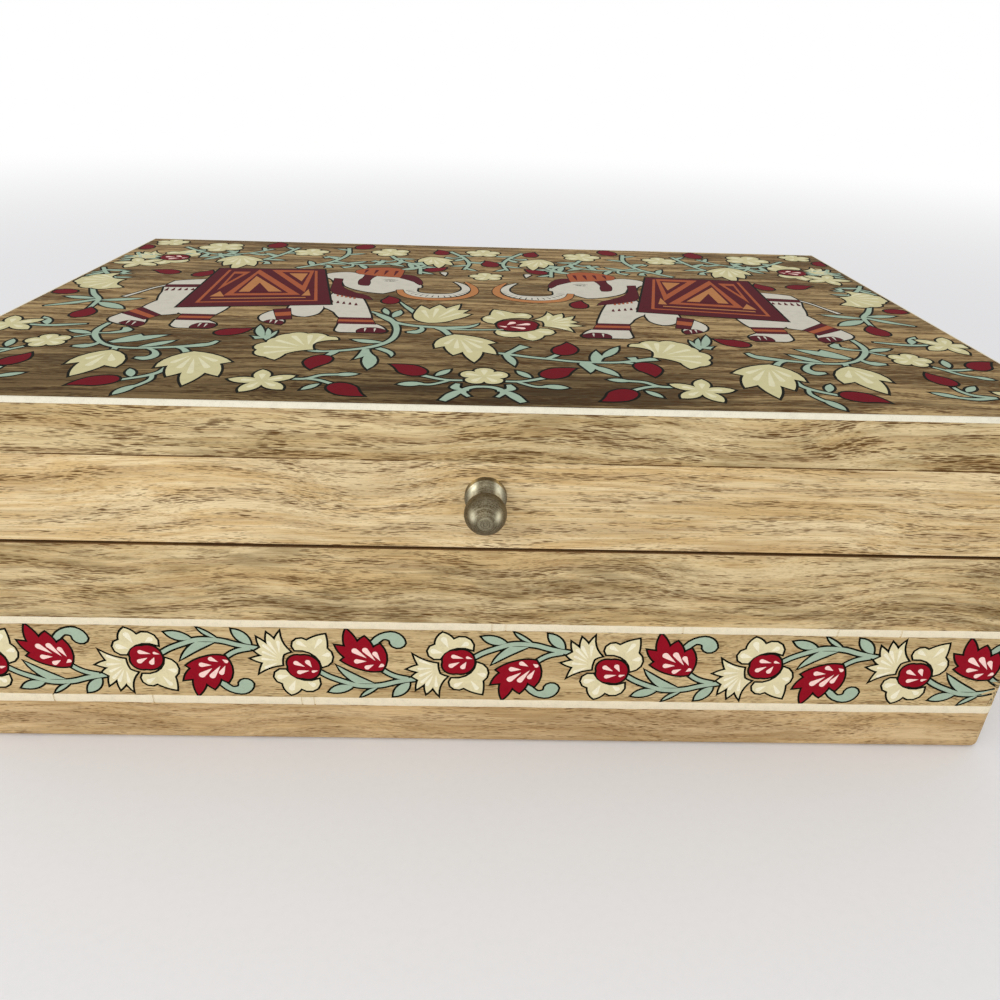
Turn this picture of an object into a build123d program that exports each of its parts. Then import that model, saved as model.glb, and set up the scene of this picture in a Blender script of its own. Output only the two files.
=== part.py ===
from build123d import *
import math
import os

# A lidded wooden jewellery box, in millimetres. Z is up, the origin is on the ground at the middle
# of the box, the front faces -Y. Mitred walls carry flush ivory coloured strings, the lid turns on
# two brass butt hinges let into the rear rims, and a turned brass knob lifts it.

# Overall box
box_width = 305.0
box_depth = 203.0
wall = 10.0
corner_radius = 2.8
bottom_edge_radius = 2.0

# Heights of the base, from the ground up
plinth_height = 13.9
lower_string_width = 2.8
inlay_band_height = 24.7
upper_string_width = 2.4
upper_wall_height = 23.6
string_depth = 2.0

# Bottom panel, let into a rabbet from below
bottom_thickness = 5.0
bottom_rabbet = 5.0
panel_clearance = 0.2

# Lid: a frame of rails under one thick board
lid_gap = 0.6
lid_rail_height = 24.8
top_board_thickness = 13.7
top_edge_drop = 8.0
top_edge_inset = 2.1
lid_string_inset = 2.7
lid_string_depth = 1.3

# Lining: cloth over card on the inner faces, padded on the floor and under the lid
lining_thickness = 1.5
lining_setback = 3.0
floor_pad_thickness = 3.0
lid_pad_thickness = 2.5
soft_clearance = 0.3

# Butt hinges
hinge_spacing = 184.0
hinge_length = 25.0
knuckles = 3
leaf_thickness = 1.0
pin_radius = 1.0
running_clearance = 0.05
knuckle_gap = 0.2
barrel_relief = 0.3
barrel_setback = 1.5
leaf_inner_margin = 0.5
mortise_clearance = 0.1
open_limit = 100.0
stop_allowance = 0.5

# Hinge screws, countersunk
screws_per_leaf = 2
screw_pitch = 14.0
screw_length = 9.0

# Turned knob, measured along its axis from the rail's face
knob_side_offset = 1.15
knob_above_rim = 15.4
knob_foot_radius = 5.3
knob_foot_thickness = 2.0
knob_cone_radius = 4.9
knob_neck_radius = 2.6
knob_neck_length = 2.8
knob_ball_radius = 5.2
knob_ball_turns = 6
knob_tip_radius = 1.8
knob_tip_height = 0.3
knob_hole_depth = 6.5

# Machine screw and washer that hold the knob from inside
knob_screw_radius = 1.5
knob_screw_head_radius = 3.0
knob_screw_head_height = 1.8
washer_radius = 4.2
washer_thickness = 0.8
washer_recess = 0.2

# Sizes that follow from those above
lower_string_z = plinth_height
upper_string_z = plinth_height + lower_string_width + inlay_band_height
base_height = upper_string_z + upper_string_width + upper_wall_height
lid_bottom = base_height + lid_gap
rail_top = lid_bottom + lid_rail_height
box_height = rail_top + top_board_thickness
barrel_radius = pin_radius + leaf_thickness
hinge_z = base_height + lid_gap / 2
hinge_y = box_depth / 2 - barrel_radius - barrel_setback
leaf_reach = wall - barrel_radius - barrel_setback - leaf_inner_margin
knuckle_length = hinge_length / knuckles
leaf_flat = leaf_reach - barrel_radius
screw_y = hinge_y - barrel_radius - leaf_flat / 2
screw_head_radius = 0.38 * leaf_flat
screw_radius = 0.5 * screw_head_radius
countersink = leaf_thickness
knob_z = lid_bottom + knob_above_rim
washer_well = washer_thickness + knob_screw_head_height + washer_recess

SIDES = ("front", "right", "back", "left")


def rounded_block(low, high):
    """The box's outline between two heights, with its rounded upright corners."""
    outline = Plane.XY.offset(low) * RectangleRounded(box_width, box_depth, corner_radius)
    return extrude(outline, amount=high - low)


def inset_block(inset, low, high):
    """A square-cornered block that lies a given way inside the box's outline."""
    outline = Plane.XY.offset(low) * Rectangle(box_width - 2 * inset, box_depth - 2 * inset)
    return extrude(outline, amount=high - low)


def mitre_wedge(side, low, high):
    """The space that one side's pieces may fill, cut at 45 degrees at both corners."""
    reach = 2.5 * wall
    spare = wall
    across = box_width if side in ("front", "back") else box_depth
    depth = box_depth if side in ("front", "back") else box_width
    outer = -depth / 2 - spare
    inner = -depth / 2 + reach
    corners = [
        (-across / 2 - spare, outer),
        (across / 2 + spare, outer),
        (across / 2 - reach, inner),
        (-across / 2 + reach, inner),
    ]
    wedge = extrude(Plane.XY.offset(low) * Polygon(*corners, align=None), amount=high - low)
    return wedge.rotate(Axis.Z, 90 * SIDES.index(side))


def split_by_side(name, ring, low, high, nodes):
    """Cuts a ring at the mitres and keeps its four sides under their own names."""
    for side in SIDES:
        nodes[name.format(side)] = ring & mitre_wedge(side, low, high)


def along_x(x, y, z, radius, length):
    """A cylinder along X, centred on a point."""
    return Pos(x, y, z) * Rot(0, 90, 0) * Cylinder(radius, length)


def stop_bevel(direction):
    """The rear rim's bevel, below the gap for -1 and above it for 1; the two meet as the lid's stop."""
    rim = hinge_z + direction * lid_gap / 2
    rear = box_depth / 2 + wall
    slope = math.tan(math.radians(open_limit / 2 + stop_allowance))
    corners = [(hinge_y, rim), (rear, rim), (rear, rim + direction * (rear - hinge_y) * slope)]
    profile = Plane.YZ * Polygon(*corners, align=None)
    return extrude(profile, amount=box_width / 2 + wall, both=True)


def base_strings(nodes):
    """Two ivory coloured strings let into each wall, flush with it; returns their grooves."""
    grooves = []
    for name, low, width in (
        ("base_lower_string_{}", lower_string_z, lower_string_width),
        ("base_upper_string_{}", upper_string_z, upper_string_width),
    ):
        core = inset_block(string_depth, low, low + width)
        split_by_side(name, rounded_block(low, low + width) - core, low, low + width, nodes)
        grooves.append(inset_block(-wall, low, low + width) - core)
    return grooves


def base_walls(nodes):
    """Four mitred walls with string grooves, a rabbet for the bottom and the rear bevel."""
    block = rounded_block(0, base_height)
    block = fillet(block.faces().sort_by(Axis.Z)[0].edges(), bottom_edge_radius)
    ring = block - inset_block(wall, 0, base_height)
    ring -= inset_block(wall - bottom_rabbet, 0, bottom_thickness)
    ring -= stop_bevel(-1)
    for groove in base_strings(nodes):
        ring -= groove
    split_by_side("base_{}_wall", ring, 0, base_height, nodes)
    nodes["base_bottom_panel"] = inset_block(wall - bottom_rabbet + panel_clearance, 0, bottom_thickness)


def at_corner(edge):
    """Whether an edge of the top board's form is one of its upright corners or runs on from one."""
    middle = edge.center()
    along = box_width / 2 - abs(middle.X)
    across = box_depth / 2 - abs(middle.Y)
    return max(along, across) < wall


def lid_block():
    """The top board's whole form: a crowned edge on all four sides over upright corners."""
    forms = []
    for across, plane in ((box_depth, Plane.YZ), (box_width, Plane.XZ)):
        half = across / 2
        shoulder = box_height - top_edge_drop
        flat = half - top_edge_inset
        outline = Polyline((-half, shoulder), (-half, rail_top), (half, rail_top), (half, shoulder))
        outline += TangentArc((half, shoulder), (flat, box_height), tangent=(0, 1))
        outline += Line((flat, box_height), (-flat, box_height))
        outline += TangentArc((-half, shoulder), (-flat, box_height), tangent=(0, 1))
        forms.append(extrude(plane * make_face(outline), amount=box_width, both=True))
    block = forms[0] & forms[1]
    return fillet(block.edges().filter_by(at_corner), corner_radius)


def lid_top(nodes):
    """The thick board, with an ivory coloured string let into its arris all round."""
    block = lid_block()
    string_z = box_height - lid_string_depth
    inside = inset_block(-wall, rail_top, string_z) + inset_block(lid_string_inset, string_z, box_height)
    nodes["lid_top_board"] = block & inside
    split_by_side("lid_string_{}", block - inside, string_z, box_height, nodes)


def lid_rails(nodes):
    """Four mitred rails under the board, with the rear bevel."""
    ring = rounded_block(lid_bottom, rail_top) - inset_block(wall, lid_bottom, rail_top)
    ring -= stop_bevel(1)
    split_by_side("lid_{}_rail", ring, lid_bottom, rail_top, nodes)


def lining(nodes):
    """Cloth covered cards on the inner faces, with a pad on the floor and one under the lid."""
    inner = wall + lining_thickness
    base_top = base_height - lining_setback
    ring = inset_block(wall, bottom_thickness, base_top) - inset_block(inner, bottom_thickness, base_top)
    split_by_side("base_lining_{}", ring, bottom_thickness, base_top, nodes)
    lid_low = lid_bottom + lining_setback
    ring = inset_block(wall, lid_low, rail_top) - inset_block(inner, lid_low, rail_top)
    split_by_side("lid_lining_{}", ring, lid_low, rail_top, nodes)
    pad = inner + soft_clearance
    nodes["base_floor_pad"] = inset_block(pad, bottom_thickness, bottom_thickness + floor_pad_thickness)
    nodes["lid_lining_top"] = inset_block(pad, rail_top - lid_pad_thickness, rail_top)


def knuckle_places(x, start):
    """The middles along X of every second knuckle of a barrel, from the given one on."""
    first = x - hinge_length / 2 + knuckle_length / 2
    return [first + index * knuckle_length for index in range(start, knuckles, 2)]


def leaf_plate(x, direction, spare):
    """A leaf's flat, against the base's rim for -1 and the lid's for 1, longer by spare where it is cut in."""
    reach = leaf_reach + spare
    rim = hinge_z + direction * lid_gap / 2
    plate = Box(hinge_length + 2 * spare, reach, leaf_thickness)
    return Pos(x, hinge_y - reach / 2, rim + direction * leaf_thickness / 2) * plate


def screw_places(x):
    """Where one leaf's screws stand along X."""
    return [x + (index - (screws_per_leaf - 1) / 2) * screw_pitch for index in range(screws_per_leaf)]


def screw_form(x, direction, spare):
    """A countersunk screw driven away from the gap, fatter by spare where it is a hole."""
    rim = hinge_z + direction * lid_gap / 2
    head = Cone(screw_radius + spare, screw_head_radius + spare, countersink)
    shank = Cylinder(screw_radius + spare, screw_length + spare)
    screw = Pos(0, 0, -countersink / 2) * head + Pos(0, 0, -(screw_length + spare) / 2) * shank
    if direction > 0:
        screw = screw.rotate(Axis.X, 180)
    return Pos(x, screw_y, rim) * screw


def hinge_leaf(x, direction, start):
    """One leaf: its flat, its own knuckles, notches for the other's, the pin's bore and screw holes."""
    leaf = leaf_plate(x, direction, 0)
    notch = Box(knuckle_length, 2 * (barrel_radius + knuckle_gap), 3 * barrel_radius)
    for place in knuckle_places(x, 1 - start):
        leaf -= Pos(place, hinge_y, hinge_z) * notch
    for place in knuckle_places(x, start):
        leaf += along_x(place, hinge_y, hinge_z, barrel_radius, knuckle_length - knuckle_gap)
    for place in screw_places(x):
        leaf -= screw_form(place, direction, running_clearance)
    return leaf - along_x(x, hinge_y, hinge_z, pin_radius + running_clearance, hinge_length + wall)


def hinges(nodes):
    """Two butt hinges let into the rear rims, their barrels in the groove that the bevels leave."""
    screws = {-1: [], 1: []}
    rims = {-1: "base_back_wall", 1: "lid_back_rail"}
    across = 2 * (barrel_radius + barrel_relief)
    notch = Box(hinge_length + 2 * barrel_relief, across, across)
    for side, x in (("left", -hinge_spacing / 2), ("right", hinge_spacing / 2)):
        nodes[f"hinge_{side}_base_leaf"] = hinge_leaf(x, -1, 0)
        nodes[f"hinge_{side}_lid_leaf"] = hinge_leaf(x, 1, 1)
        nodes[f"hinge_{side}_pin"] = along_x(x, hinge_y, hinge_z, pin_radius, hinge_length)
        for direction, rim in rims.items():
            wood = nodes[rim] - leaf_plate(x, direction, mortise_clearance) - Pos(x, hinge_y, hinge_z) * notch
            for place in screw_places(x):
                wood -= screw_form(place, direction, running_clearance)
                screws[direction].append(screw_form(place, direction, 0))
            nodes[rim] = wood
    nodes["hinge_base_screws"] = Compound(children=screws[-1])
    nodes["hinge_lid_screws"] = Compound(children=screws[1])


def on_knob_axis(form):
    """Turns a form made along +Z so that it points out of the front rail, and puts it on the knob's axis."""
    return Pos(knob_side_offset, -box_depth / 2, knob_z) * Rot(90, 0, 0) * form


def knob_profile():
    """Half the knob's outline: foot, cone, a ball turned in flat cuts from neck to tip, and the tip."""
    first = math.asin(knob_neck_radius / knob_ball_radius)
    last = math.pi - math.asin(knob_tip_radius / knob_ball_radius)
    ball_z = knob_foot_thickness + knob_neck_length + knob_ball_radius * math.cos(first)
    angles = [first + (last - first) * turn / knob_ball_turns for turn in range(knob_ball_turns + 1)]
    ball = [(knob_ball_radius * math.sin(a), ball_z - knob_ball_radius * math.cos(a)) for a in angles]
    crown = ball[-1][1] + knob_tip_height
    foot = (knob_foot_radius, knob_foot_thickness)
    cone = (knob_cone_radius, knob_foot_thickness)
    tip = [(knob_tip_radius, crown), (0, crown)]
    return make_face(Polyline((0, 0), (knob_foot_radius, 0), foot, cone, *ball, *tip, close=True))


def knob(nodes):
    """The turned knob, its screw and washer, and the hole and well that the front rail gives them."""
    turned = revolve(Plane.XZ * knob_profile(), Axis.Z)
    hole_radius = knob_screw_radius + running_clearance
    turned -= Pos(0, 0, knob_hole_depth / 2) * Cylinder(hole_radius, knob_hole_depth)
    nodes["knob"] = on_knob_axis(turned)
    inner_face = -wall
    well = Pos(0, 0, inner_face + washer_well / 2) * Cylinder(washer_radius + washer_recess, washer_well)
    hole = Pos(0, 0, inner_face / 2) * Cylinder(hole_radius, wall)
    nodes["lid_front_rail"] -= on_knob_axis(well + hole)
    washer_floor = inner_face + washer_well
    washer = Cylinder(washer_radius, washer_thickness) - Cylinder(hole_radius, washer_thickness)
    nodes["knob_washer"] = on_knob_axis(Pos(0, 0, washer_floor - washer_thickness / 2) * washer)
    head_top = washer_floor - washer_thickness
    shank = knob_hole_depth - washer_recess - head_top
    head = Pos(0, 0, head_top - knob_screw_head_height / 2) * Cylinder(knob_screw_head_radius, knob_screw_head_height)
    slot = Pos(0, 0, head_top - knob_screw_head_height) * Box(3 * knob_screw_head_radius, 0.8, 1.4)
    shaft = Pos(0, 0, head_top + shank / 2) * Cylinder(knob_screw_radius, shank)
    nodes["knob_screw"] = on_knob_axis(head + shaft - slot)


def main():
    """Makes every piece and writes each to its own file."""
    nodes = {}
    base_walls(nodes)
    lid_rails(nodes)
    lid_top(nodes)
    lining(nodes)
    hinges(nodes)
    knob(nodes)
    os.makedirs("parts", exist_ok=True)
    for name, form in nodes.items():
        export_step(form, f"parts/{name}.step")


main()
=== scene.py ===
import functools
import math

import bpy
import numpy as np
from mathutils import Matrix, Vector


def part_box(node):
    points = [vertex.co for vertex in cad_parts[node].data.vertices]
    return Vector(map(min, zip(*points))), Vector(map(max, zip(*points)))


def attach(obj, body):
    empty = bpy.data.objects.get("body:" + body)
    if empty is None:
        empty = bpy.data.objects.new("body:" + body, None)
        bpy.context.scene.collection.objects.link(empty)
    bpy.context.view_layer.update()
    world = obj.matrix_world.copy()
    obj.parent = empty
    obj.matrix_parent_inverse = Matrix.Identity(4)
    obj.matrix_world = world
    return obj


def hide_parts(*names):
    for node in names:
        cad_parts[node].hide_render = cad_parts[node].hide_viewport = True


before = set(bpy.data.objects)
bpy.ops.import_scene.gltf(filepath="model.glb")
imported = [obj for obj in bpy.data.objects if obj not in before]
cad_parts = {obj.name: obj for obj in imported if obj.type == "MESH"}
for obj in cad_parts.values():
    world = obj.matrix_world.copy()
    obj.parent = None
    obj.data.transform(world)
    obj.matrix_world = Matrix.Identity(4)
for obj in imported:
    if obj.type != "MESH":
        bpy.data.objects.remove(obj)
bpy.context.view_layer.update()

bl_info = {
    "name": "Inlaid Jewellery Box",
    "version": (1, 0, 0),
    "blender": (4, 5, 0),
    "location": "3D View > Sidebar > Jewellery Box",
    "description": "Dresses the frame of a wooden jewellery box with its boards, inlay, brass and lining",
    "category": "Add Mesh",
}

# Lengths are metres and flat drawings are millimetres, unless a name or comment says otherwise.
MM = 0.001
SIDES = ("front", "right", "back", "left")


def node_low(name):
    """The lowest corner of a frame node."""
    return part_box(name)[0]


def node_high(name):
    """The highest corner of a frame node."""
    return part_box(name)[1]


BOX_WIDTH = node_high("base_right_wall").x - node_low("base_left_wall").x
BOX_DEPTH = node_high("base_back_wall").y - node_low("base_front_wall").y
BASE_TOP = node_high("base_front_wall").z
LID_BOTTOM = node_low("lid_front_rail").z
RAIL_TOP = node_high("lid_front_rail").z
BOX_TOP = node_high("lid_top_board").z
WALL = node_high("base_lining_front").y - node_low("base_front_wall").y
LINING = node_low("base_floor_pad").x - node_low("base_left_wall").x - WALL
PIN_LOW, PIN_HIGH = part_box("hinge_left_pin")
HINGE_AXIS = (PIN_LOW + PIN_HIGH) / 2


def tone(red, green, blue):
    """A display colour, each channel from 0 to 255, as the linear colour that shaders take."""
    shares = np.array((red, green, blue)) / 255
    linear = np.where(shares <= 0.04045, shares / 12.92, ((shares + 0.055) / 1.055) ** 2.4)
    return tuple(float(value) for value in linear)


def length(name, description, default):
    """A property that holds a length in metres."""
    return bpy.props.FloatProperty(
        name=name, description=description, default=default, min=0, unit="LENGTH", precision=5
    )


def colour(name, description, red, green, blue):
    """A property that holds a colour."""
    return bpy.props.FloatVectorProperty(
        name=name, description=description, default=tone(red, green, blue), subtype="COLOR", min=0, max=1
    )


class JewelleryBoxSizes(bpy.types.PropertyGroup):
    """Sizes of the finish, on top of those that the frame gives."""

    corner_radius: length("Corner radius", "Rounding of the upright corners", 2.8 * MM)
    bottom_radius: length("Bottom edge radius", "Rounding of the lower outer edge", 2.0 * MM)
    arris_radius: length("Arris radius", "Easing of the boards' other edges", 0.22 * MM)
    joint: length("Joint", "Height of the broken dark line under the lid's board", 0.28 * MM)
    crown_inset: length("Crown inset", "How far the lid's crowned edge draws in at the top", 2.1 * MM)
    crown_drop: length("Crown drop", "How far below the top the crowned edge begins", 8.0 * MM)
    string_depth: length("String depth", "How deep the wall strings are let in", 2.0 * MM)
    string_waver: length("String waver", "How much a hand laid string varies in width", 0.12 * MM)
    skin: length("Skin", "How far the bare wood lies inside the frame's faces, under the inlay", 0.12 * MM)
    layer: length("Layer", "Height of one layer of inlay above the one below it", 0.012 * MM)
    tile_depth: length("Tile depth", "How deep each inlaid tile is let into the wood", 0.4 * MM)


# Where each kind of wood is, and its pale, tan and smoke colours
WOOD_SHADES = {
    "rail": ("of the lid's rails", (234, 212, 168), (215, 184, 131), (150, 124, 82)),
    "wall": ("of the upper walls", (216, 194, 150), (205, 177, 127), (118, 101, 68)),
    "band": ("behind the flower band", (212, 188, 142), (196, 171, 125), (158, 134, 92)),
    "plinth": ("of the plinth", (214, 187, 144), (202, 172, 125), (142, 114, 76)),
    "edge": ("of the lid board's edge", (218, 197, 152), (195, 168, 119), (116, 100, 68)),
    "lid": ("of the lid's top", (192, 164, 116), (158, 131, 90), (84, 69, 46)),
    # The rim colours are dark as painted shade, so the gap between lid and base looks shaded.
    "rim": ("of the stained rims", (118, 88, 56), (92, 66, 40), (64, 48, 32)),
}
SHADE_USES = {"pale": "Palest streaks", "tan": "Main colour", "smoke": "Smoky patches"}


class JewelleryBoxColours(bpy.types.PropertyGroup):
    """Colours of the woods, the inlay, the metal and the cloth."""

    grain: colour("Grain", "Growth lines and fine hairs of every wood", 138, 98, 52)
    lid_grain: colour("Lid grain", "Growth lines and fine hairs of the lid's top", 96, 72, 42)
    pore: colour("Pore", "Pore dashes of every wood", 88, 58, 24)
    ivory: colour("Ivory", "Strings in the walls", 234, 222, 194)
    bone: colour("Bone", "Strings round the lid", 232, 225, 204)
    cream: colour("Cream", "Petals of the band", 222, 211, 170)
    light: colour("Light cream", "Strokes within the band's petals", 240, 233, 206)
    crimson: colour("Crimson", "Tulips and rosette centres of the band", 144, 18, 34)
    blush: colour("Blush", "Drops on the crimson", 250, 214, 204)
    sage: colour("Sage", "Stems and leaves of the band", 166, 184, 162)
    # The lid's cream, light cream, crimson and sage are darker copies of the band's colours, painted shade for the
    # lid's top.
    lid_cream: colour("Lid cream", "Petals of the lid's picture", 206, 198, 152)
    lid_light: colour("Lid light cream", "Strokes within the lid's petals", 224, 218, 182)
    lid_crimson: colour("Lid crimson", "Buds and rosettes of the lid's picture", 112, 13, 26)
    lid_sage: colour("Lid sage", "Stems and leaves of the lid's picture", 160, 181, 160)
    ink: colour("Ink", "Dark lines round the inlaid shapes", 20, 20, 12)
    white: colour("White", "Elephants", 204, 199, 184)
    maroon: colour("Maroon", "Elephants' cloths", 84, 20, 30)
    orange: colour("Orange", "Elephants' headdresses and cloth borders", 164, 86, 52)
    ochre: colour("Ochre", "Triangles on the elephants' cloths", 182, 122, 74)
    brass: colour("Brass", "Clean brass of the hinges", 204, 192, 148)
    # Painted highlight colour: the knob's bright spots.
    knob_highlight: colour("Shine", "Painted highlights of the knob", 244, 236, 202)
    tarnish: colour("Tarnish", "Darkened brass", 74, 60, 36)
    velvet: colour("Velvet", "Lining cloth", 104, 20, 34)
    steel: colour("Steel", "Knob screw and washer", 150, 150, 148)
    floor: colour("Floor", "Floor under the box", 238, 238, 240)


for wood_kind, (wood_place, *wood_tones) in WOOD_SHADES.items():
    for (shade_key, shade_use), wood_tone in zip(SHADE_USES.items(), wood_tones):
        JewelleryBoxColours.__annotations__[f"{wood_kind}_{shade_key}"] = colour(
            f"{wood_kind.capitalize()} {shade_key}", f"{shade_use} {wood_place}", *wood_tone
        )


# Shader graphs


def feed(tree, socket, value):
    """Links a socket to an input, or sets the input's own value."""
    if isinstance(value, bpy.types.NodeSocket):
        tree.links.new(value, socket)
    else:
        socket.default_value = value


def add_node(tree, kind, inputs=(), **settings):
    """Adds a node, sets its options and feeds its inputs by name or number."""
    made = tree.nodes.new(kind)
    for key, value in settings.items():
        setattr(made, key, value)
    for key, value in dict(inputs).items():
        feed(tree, made.inputs[key], value)
    return made


def calc(tree, operation, first, second=0.0):
    """One step of arithmetic on numbers."""
    made = add_node(tree, "ShaderNodeMath", {0: first, 1: second}, operation=operation)
    return made.outputs[0]


def times(tree, first, second):
    """The product of two numbers."""
    return calc(tree, "MULTIPLY", first, second)


def plus(tree, first, second):
    """The sum of two numbers."""
    return calc(tree, "ADD", first, second)


def minus(tree, first, second):
    """The first number less the second."""
    return calc(tree, "SUBTRACT", first, second)


def stretched(tree, vector, scales):
    """A vector with each coordinate multiplied by its own scale."""
    made = add_node(tree, "ShaderNodeVectorMath", {0: vector, 1: scales}, operation="MULTIPLY")
    return made.outputs[0]


def noise(tree, vector, sizes, detail=2.0, roughness=0.55):
    """Soft noise whose patches have about the given sizes along X, Y and Z."""
    scales = tuple(1 / size for size in sizes)
    inputs = {"Vector": stretched(tree, vector, scales), "Scale": 1.0, "Detail": detail, "Roughness": roughness}
    return add_node(tree, "ShaderNodeTexNoise", inputs).outputs["Fac"]


def cells(tree, vector, sizes):
    """Distance to the nearest of many scattered points, in cells of the given sizes."""
    scales = tuple(1 / size for size in sizes)
    inputs = {"Vector": stretched(tree, vector, scales), "Scale": 1.0}
    return add_node(tree, "ShaderNodeTexVoronoi", inputs).outputs["Distance"]


def ramp(tree, value, low, high, start=0.0, end=1.0):
    """A smooth step from start to end while the value goes from low to high."""
    inputs = {"Value": value, "From Min": low, "From Max": high, "To Min": start, "To Max": end}
    made = add_node(tree, "ShaderNodeMapRange", inputs, interpolation_type="SMOOTHSTEP")
    return made.outputs["Result"]


def blended(tree, factor, first, second, kind="MIX"):
    """A colour that goes from the first to the second, or to their product, as the factor goes from 0 to 1."""
    made = tree.nodes.new("ShaderNodeMix")
    made.data_type = "RGBA"
    made.blend_type = kind
    feed(tree, made.inputs[0], factor)
    feed(tree, made.inputs[6], first)
    feed(tree, made.inputs[7], second)
    return made.outputs[2]


NUMBER = "NodeSocketFloat"
COLOUR = "NodeSocketColor"
VECTOR = "NodeSocketVector"
PATTERN_OUTPUTS = {"Color": COLOUR, "Roughness": NUMBER, "Height": NUMBER}


def pattern(name, inputs):
    """Turns a function that returns a pattern's colour, roughness and height into one that gives its node group."""
    def wrap(build):
        @functools.wraps(build)
        def find():
            if name in bpy.data.node_groups:
                return bpy.data.node_groups[name]
            group = bpy.data.node_groups.new(name, "ShaderNodeTree")
            for in_out, sockets in (("INPUT", inputs), ("OUTPUT", PATTERN_OUTPUTS)):
                for key, kind in sockets.items():
                    group.interface.new_socket(name=key, in_out=in_out, socket_type=kind)
            given = group.nodes.new("NodeGroupInput").outputs
            result = group.nodes.new("NodeGroupOutput").inputs
            for key, value in zip(PATTERN_OUTPUTS, build(group, given)):
                feed(group, result[key], value)
            return group

        return find

    return wrap


FRONT_LEFT_DARKENING = (0.42, 0.4, 0.36, 1)


@pattern("Wood grain", {
    "Vector": VECTOR, "Pale": COLOUR, "Tan": COLOUR, "Grain": COLOUR, "Pore": COLOUR, "Smoke": COLOUR,
    "Pore amount": NUMBER, "Smoke amount": NUMBER, "Line amount": NUMBER, "Stain amount": NUMBER,
})
def wood_group(tree, given):
    """Wood that runs along X, in millimetres: streaks, growth lines, smoky patches, fine hairs and pore dashes."""
    sway = times(tree, minus(tree, noise(tree, given["Vector"], (70, 40, 40), 1), 0.5), 10.0)
    shift = add_node(tree, "ShaderNodeCombineXYZ", {"Y": sway, "Z": sway}).outputs["Vector"]
    place = add_node(tree, "ShaderNodeVectorMath", {0: given["Vector"], 1: shift}, operation="ADD").outputs[0]
    broad = noise(tree, place, (85, 6, 6), 3)
    fine = noise(tree, place, (26, 0.9, 0.9), 3, 0.6)
    hair = noise(tree, place, (14, 0.22, 0.22), 2, 0.65)
    spot_parts = add_node(tree, "ShaderNodeSeparateXYZ", {0: place}).outputs
    across = plus(tree, spot_parts["Z"], spot_parts["Y"])
    phase = plus(tree, times(tree, across, 0.95), times(tree, broad, 9.0))
    rings = ramp(tree, calc(tree, "SINE", phase), 0.0, 1.0)
    lines = times(tree, times(tree, rings, given["Line amount"]), ramp(tree, fine, 0.3, 0.7))
    pale = ramp(tree, plus(tree, broad, times(tree, fine, 0.8)), 0.72, 1.05)
    base = blended(tree, pale, given["Tan"], given["Pale"])
    base = blended(tree, lines, base, given["Grain"])
    cloud = noise(tree, place, (36, 7, 7), 3)
    wisps = noise(tree, place, (14, 1.1, 1.1), 3)
    broad_cloud = noise(tree, place, (120, 45, 45), 1)
    clouds = plus(tree, times(tree, cloud, 0.6), times(tree, broad_cloud, 0.5))
    smoky = ramp(tree, plus(tree, clouds, times(tree, wisps, 0.5)), 0.70, 0.98)
    smoke = times(tree, smoky, given["Smoke amount"])
    base = blended(tree, smoke, base, given["Smoke"])
    base = blended(tree, ramp(tree, hair, 0.46, 0.72, 0.0, 0.6), base, given["Grain"])
    crowd = noise(tree, place, (20, 2.4, 2.4), 2)
    crowd = plus(tree, crowd, times(tree, plus(tree, smoke, rings), 0.12))
    reach = times(tree, ramp(tree, crowd, 0.40, 0.68), given["Pore amount"])
    long_dashes = cells(tree, place, (5.2, 0.55, 0.31))
    short_dashes = cells(tree, place, (2.6, 0.4, 0.21))
    long_pores = ramp(tree, minus(tree, times(tree, reach, 0.33), long_dashes), -0.07, 0.06)
    wide_reach = plus(tree, times(tree, reach, 0.2), times(tree, given["Pore amount"], 0.12))
    short_pores = ramp(tree, minus(tree, wide_reach, short_dashes), -0.08, 0.06)
    pores = calc(tree, "MAXIMUM", times(tree, long_pores, 0.95), times(tree, short_pores, 0.65))
    base = blended(tree, pores, base, given["Pore"])
    # Darker towards the front and the left of the board, by the given amount.
    corner = add_node(tree, "ShaderNodeSeparateXYZ", {0: given["Vector"]}).outputs
    near = plus(tree, corner["Y"], times(tree, cloud, 60.0))
    front_left_dark = times(tree, ramp(tree, near, 20.0, -70.0), ramp(tree, corner["X"], 130.0, 10.0))
    front_left_dark = times(tree, front_left_dark, given["Stain amount"])
    sheen = ramp(tree, fine, 0.2, 0.8, 0.36, 0.5)
    relief = minus(tree, times(tree, hair, 0.25), times(tree, pores, 0.6))
    darkened = blended(tree, front_left_dark, base, FRONT_LEFT_DARKENING, "MULTIPLY")
    return darkened, plus(tree, sheen, times(tree, pores, 0.15)), relief


@pattern("Resin mottle", {"Vector": VECTOR, "Base": COLOUR, "Speck": COLOUR, "Speck amount": NUMBER})
def resin_group(tree, given):
    """Filler that was poured and sanded flat: faint clouds, fine specks and a little unevenness."""
    place = given["Vector"]
    clouds = noise(tree, place, (2.2, 2.2, 2.2), 3)
    specks = noise(tree, place, (0.35, 0.35, 0.35), 2)
    mask = times(tree, ramp(tree, specks, 0.5, 0.75), given["Speck amount"])
    shade = plus(tree, mask, ramp(tree, clouds, 0.4, 0.75, 0.0, 0.22))
    return blended(tree, shade, given["Base"], given["Speck"]), ramp(tree, clouds, 0.3, 0.7, 0.3, 0.42), clouds


DARKNESS = "grime"


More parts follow.
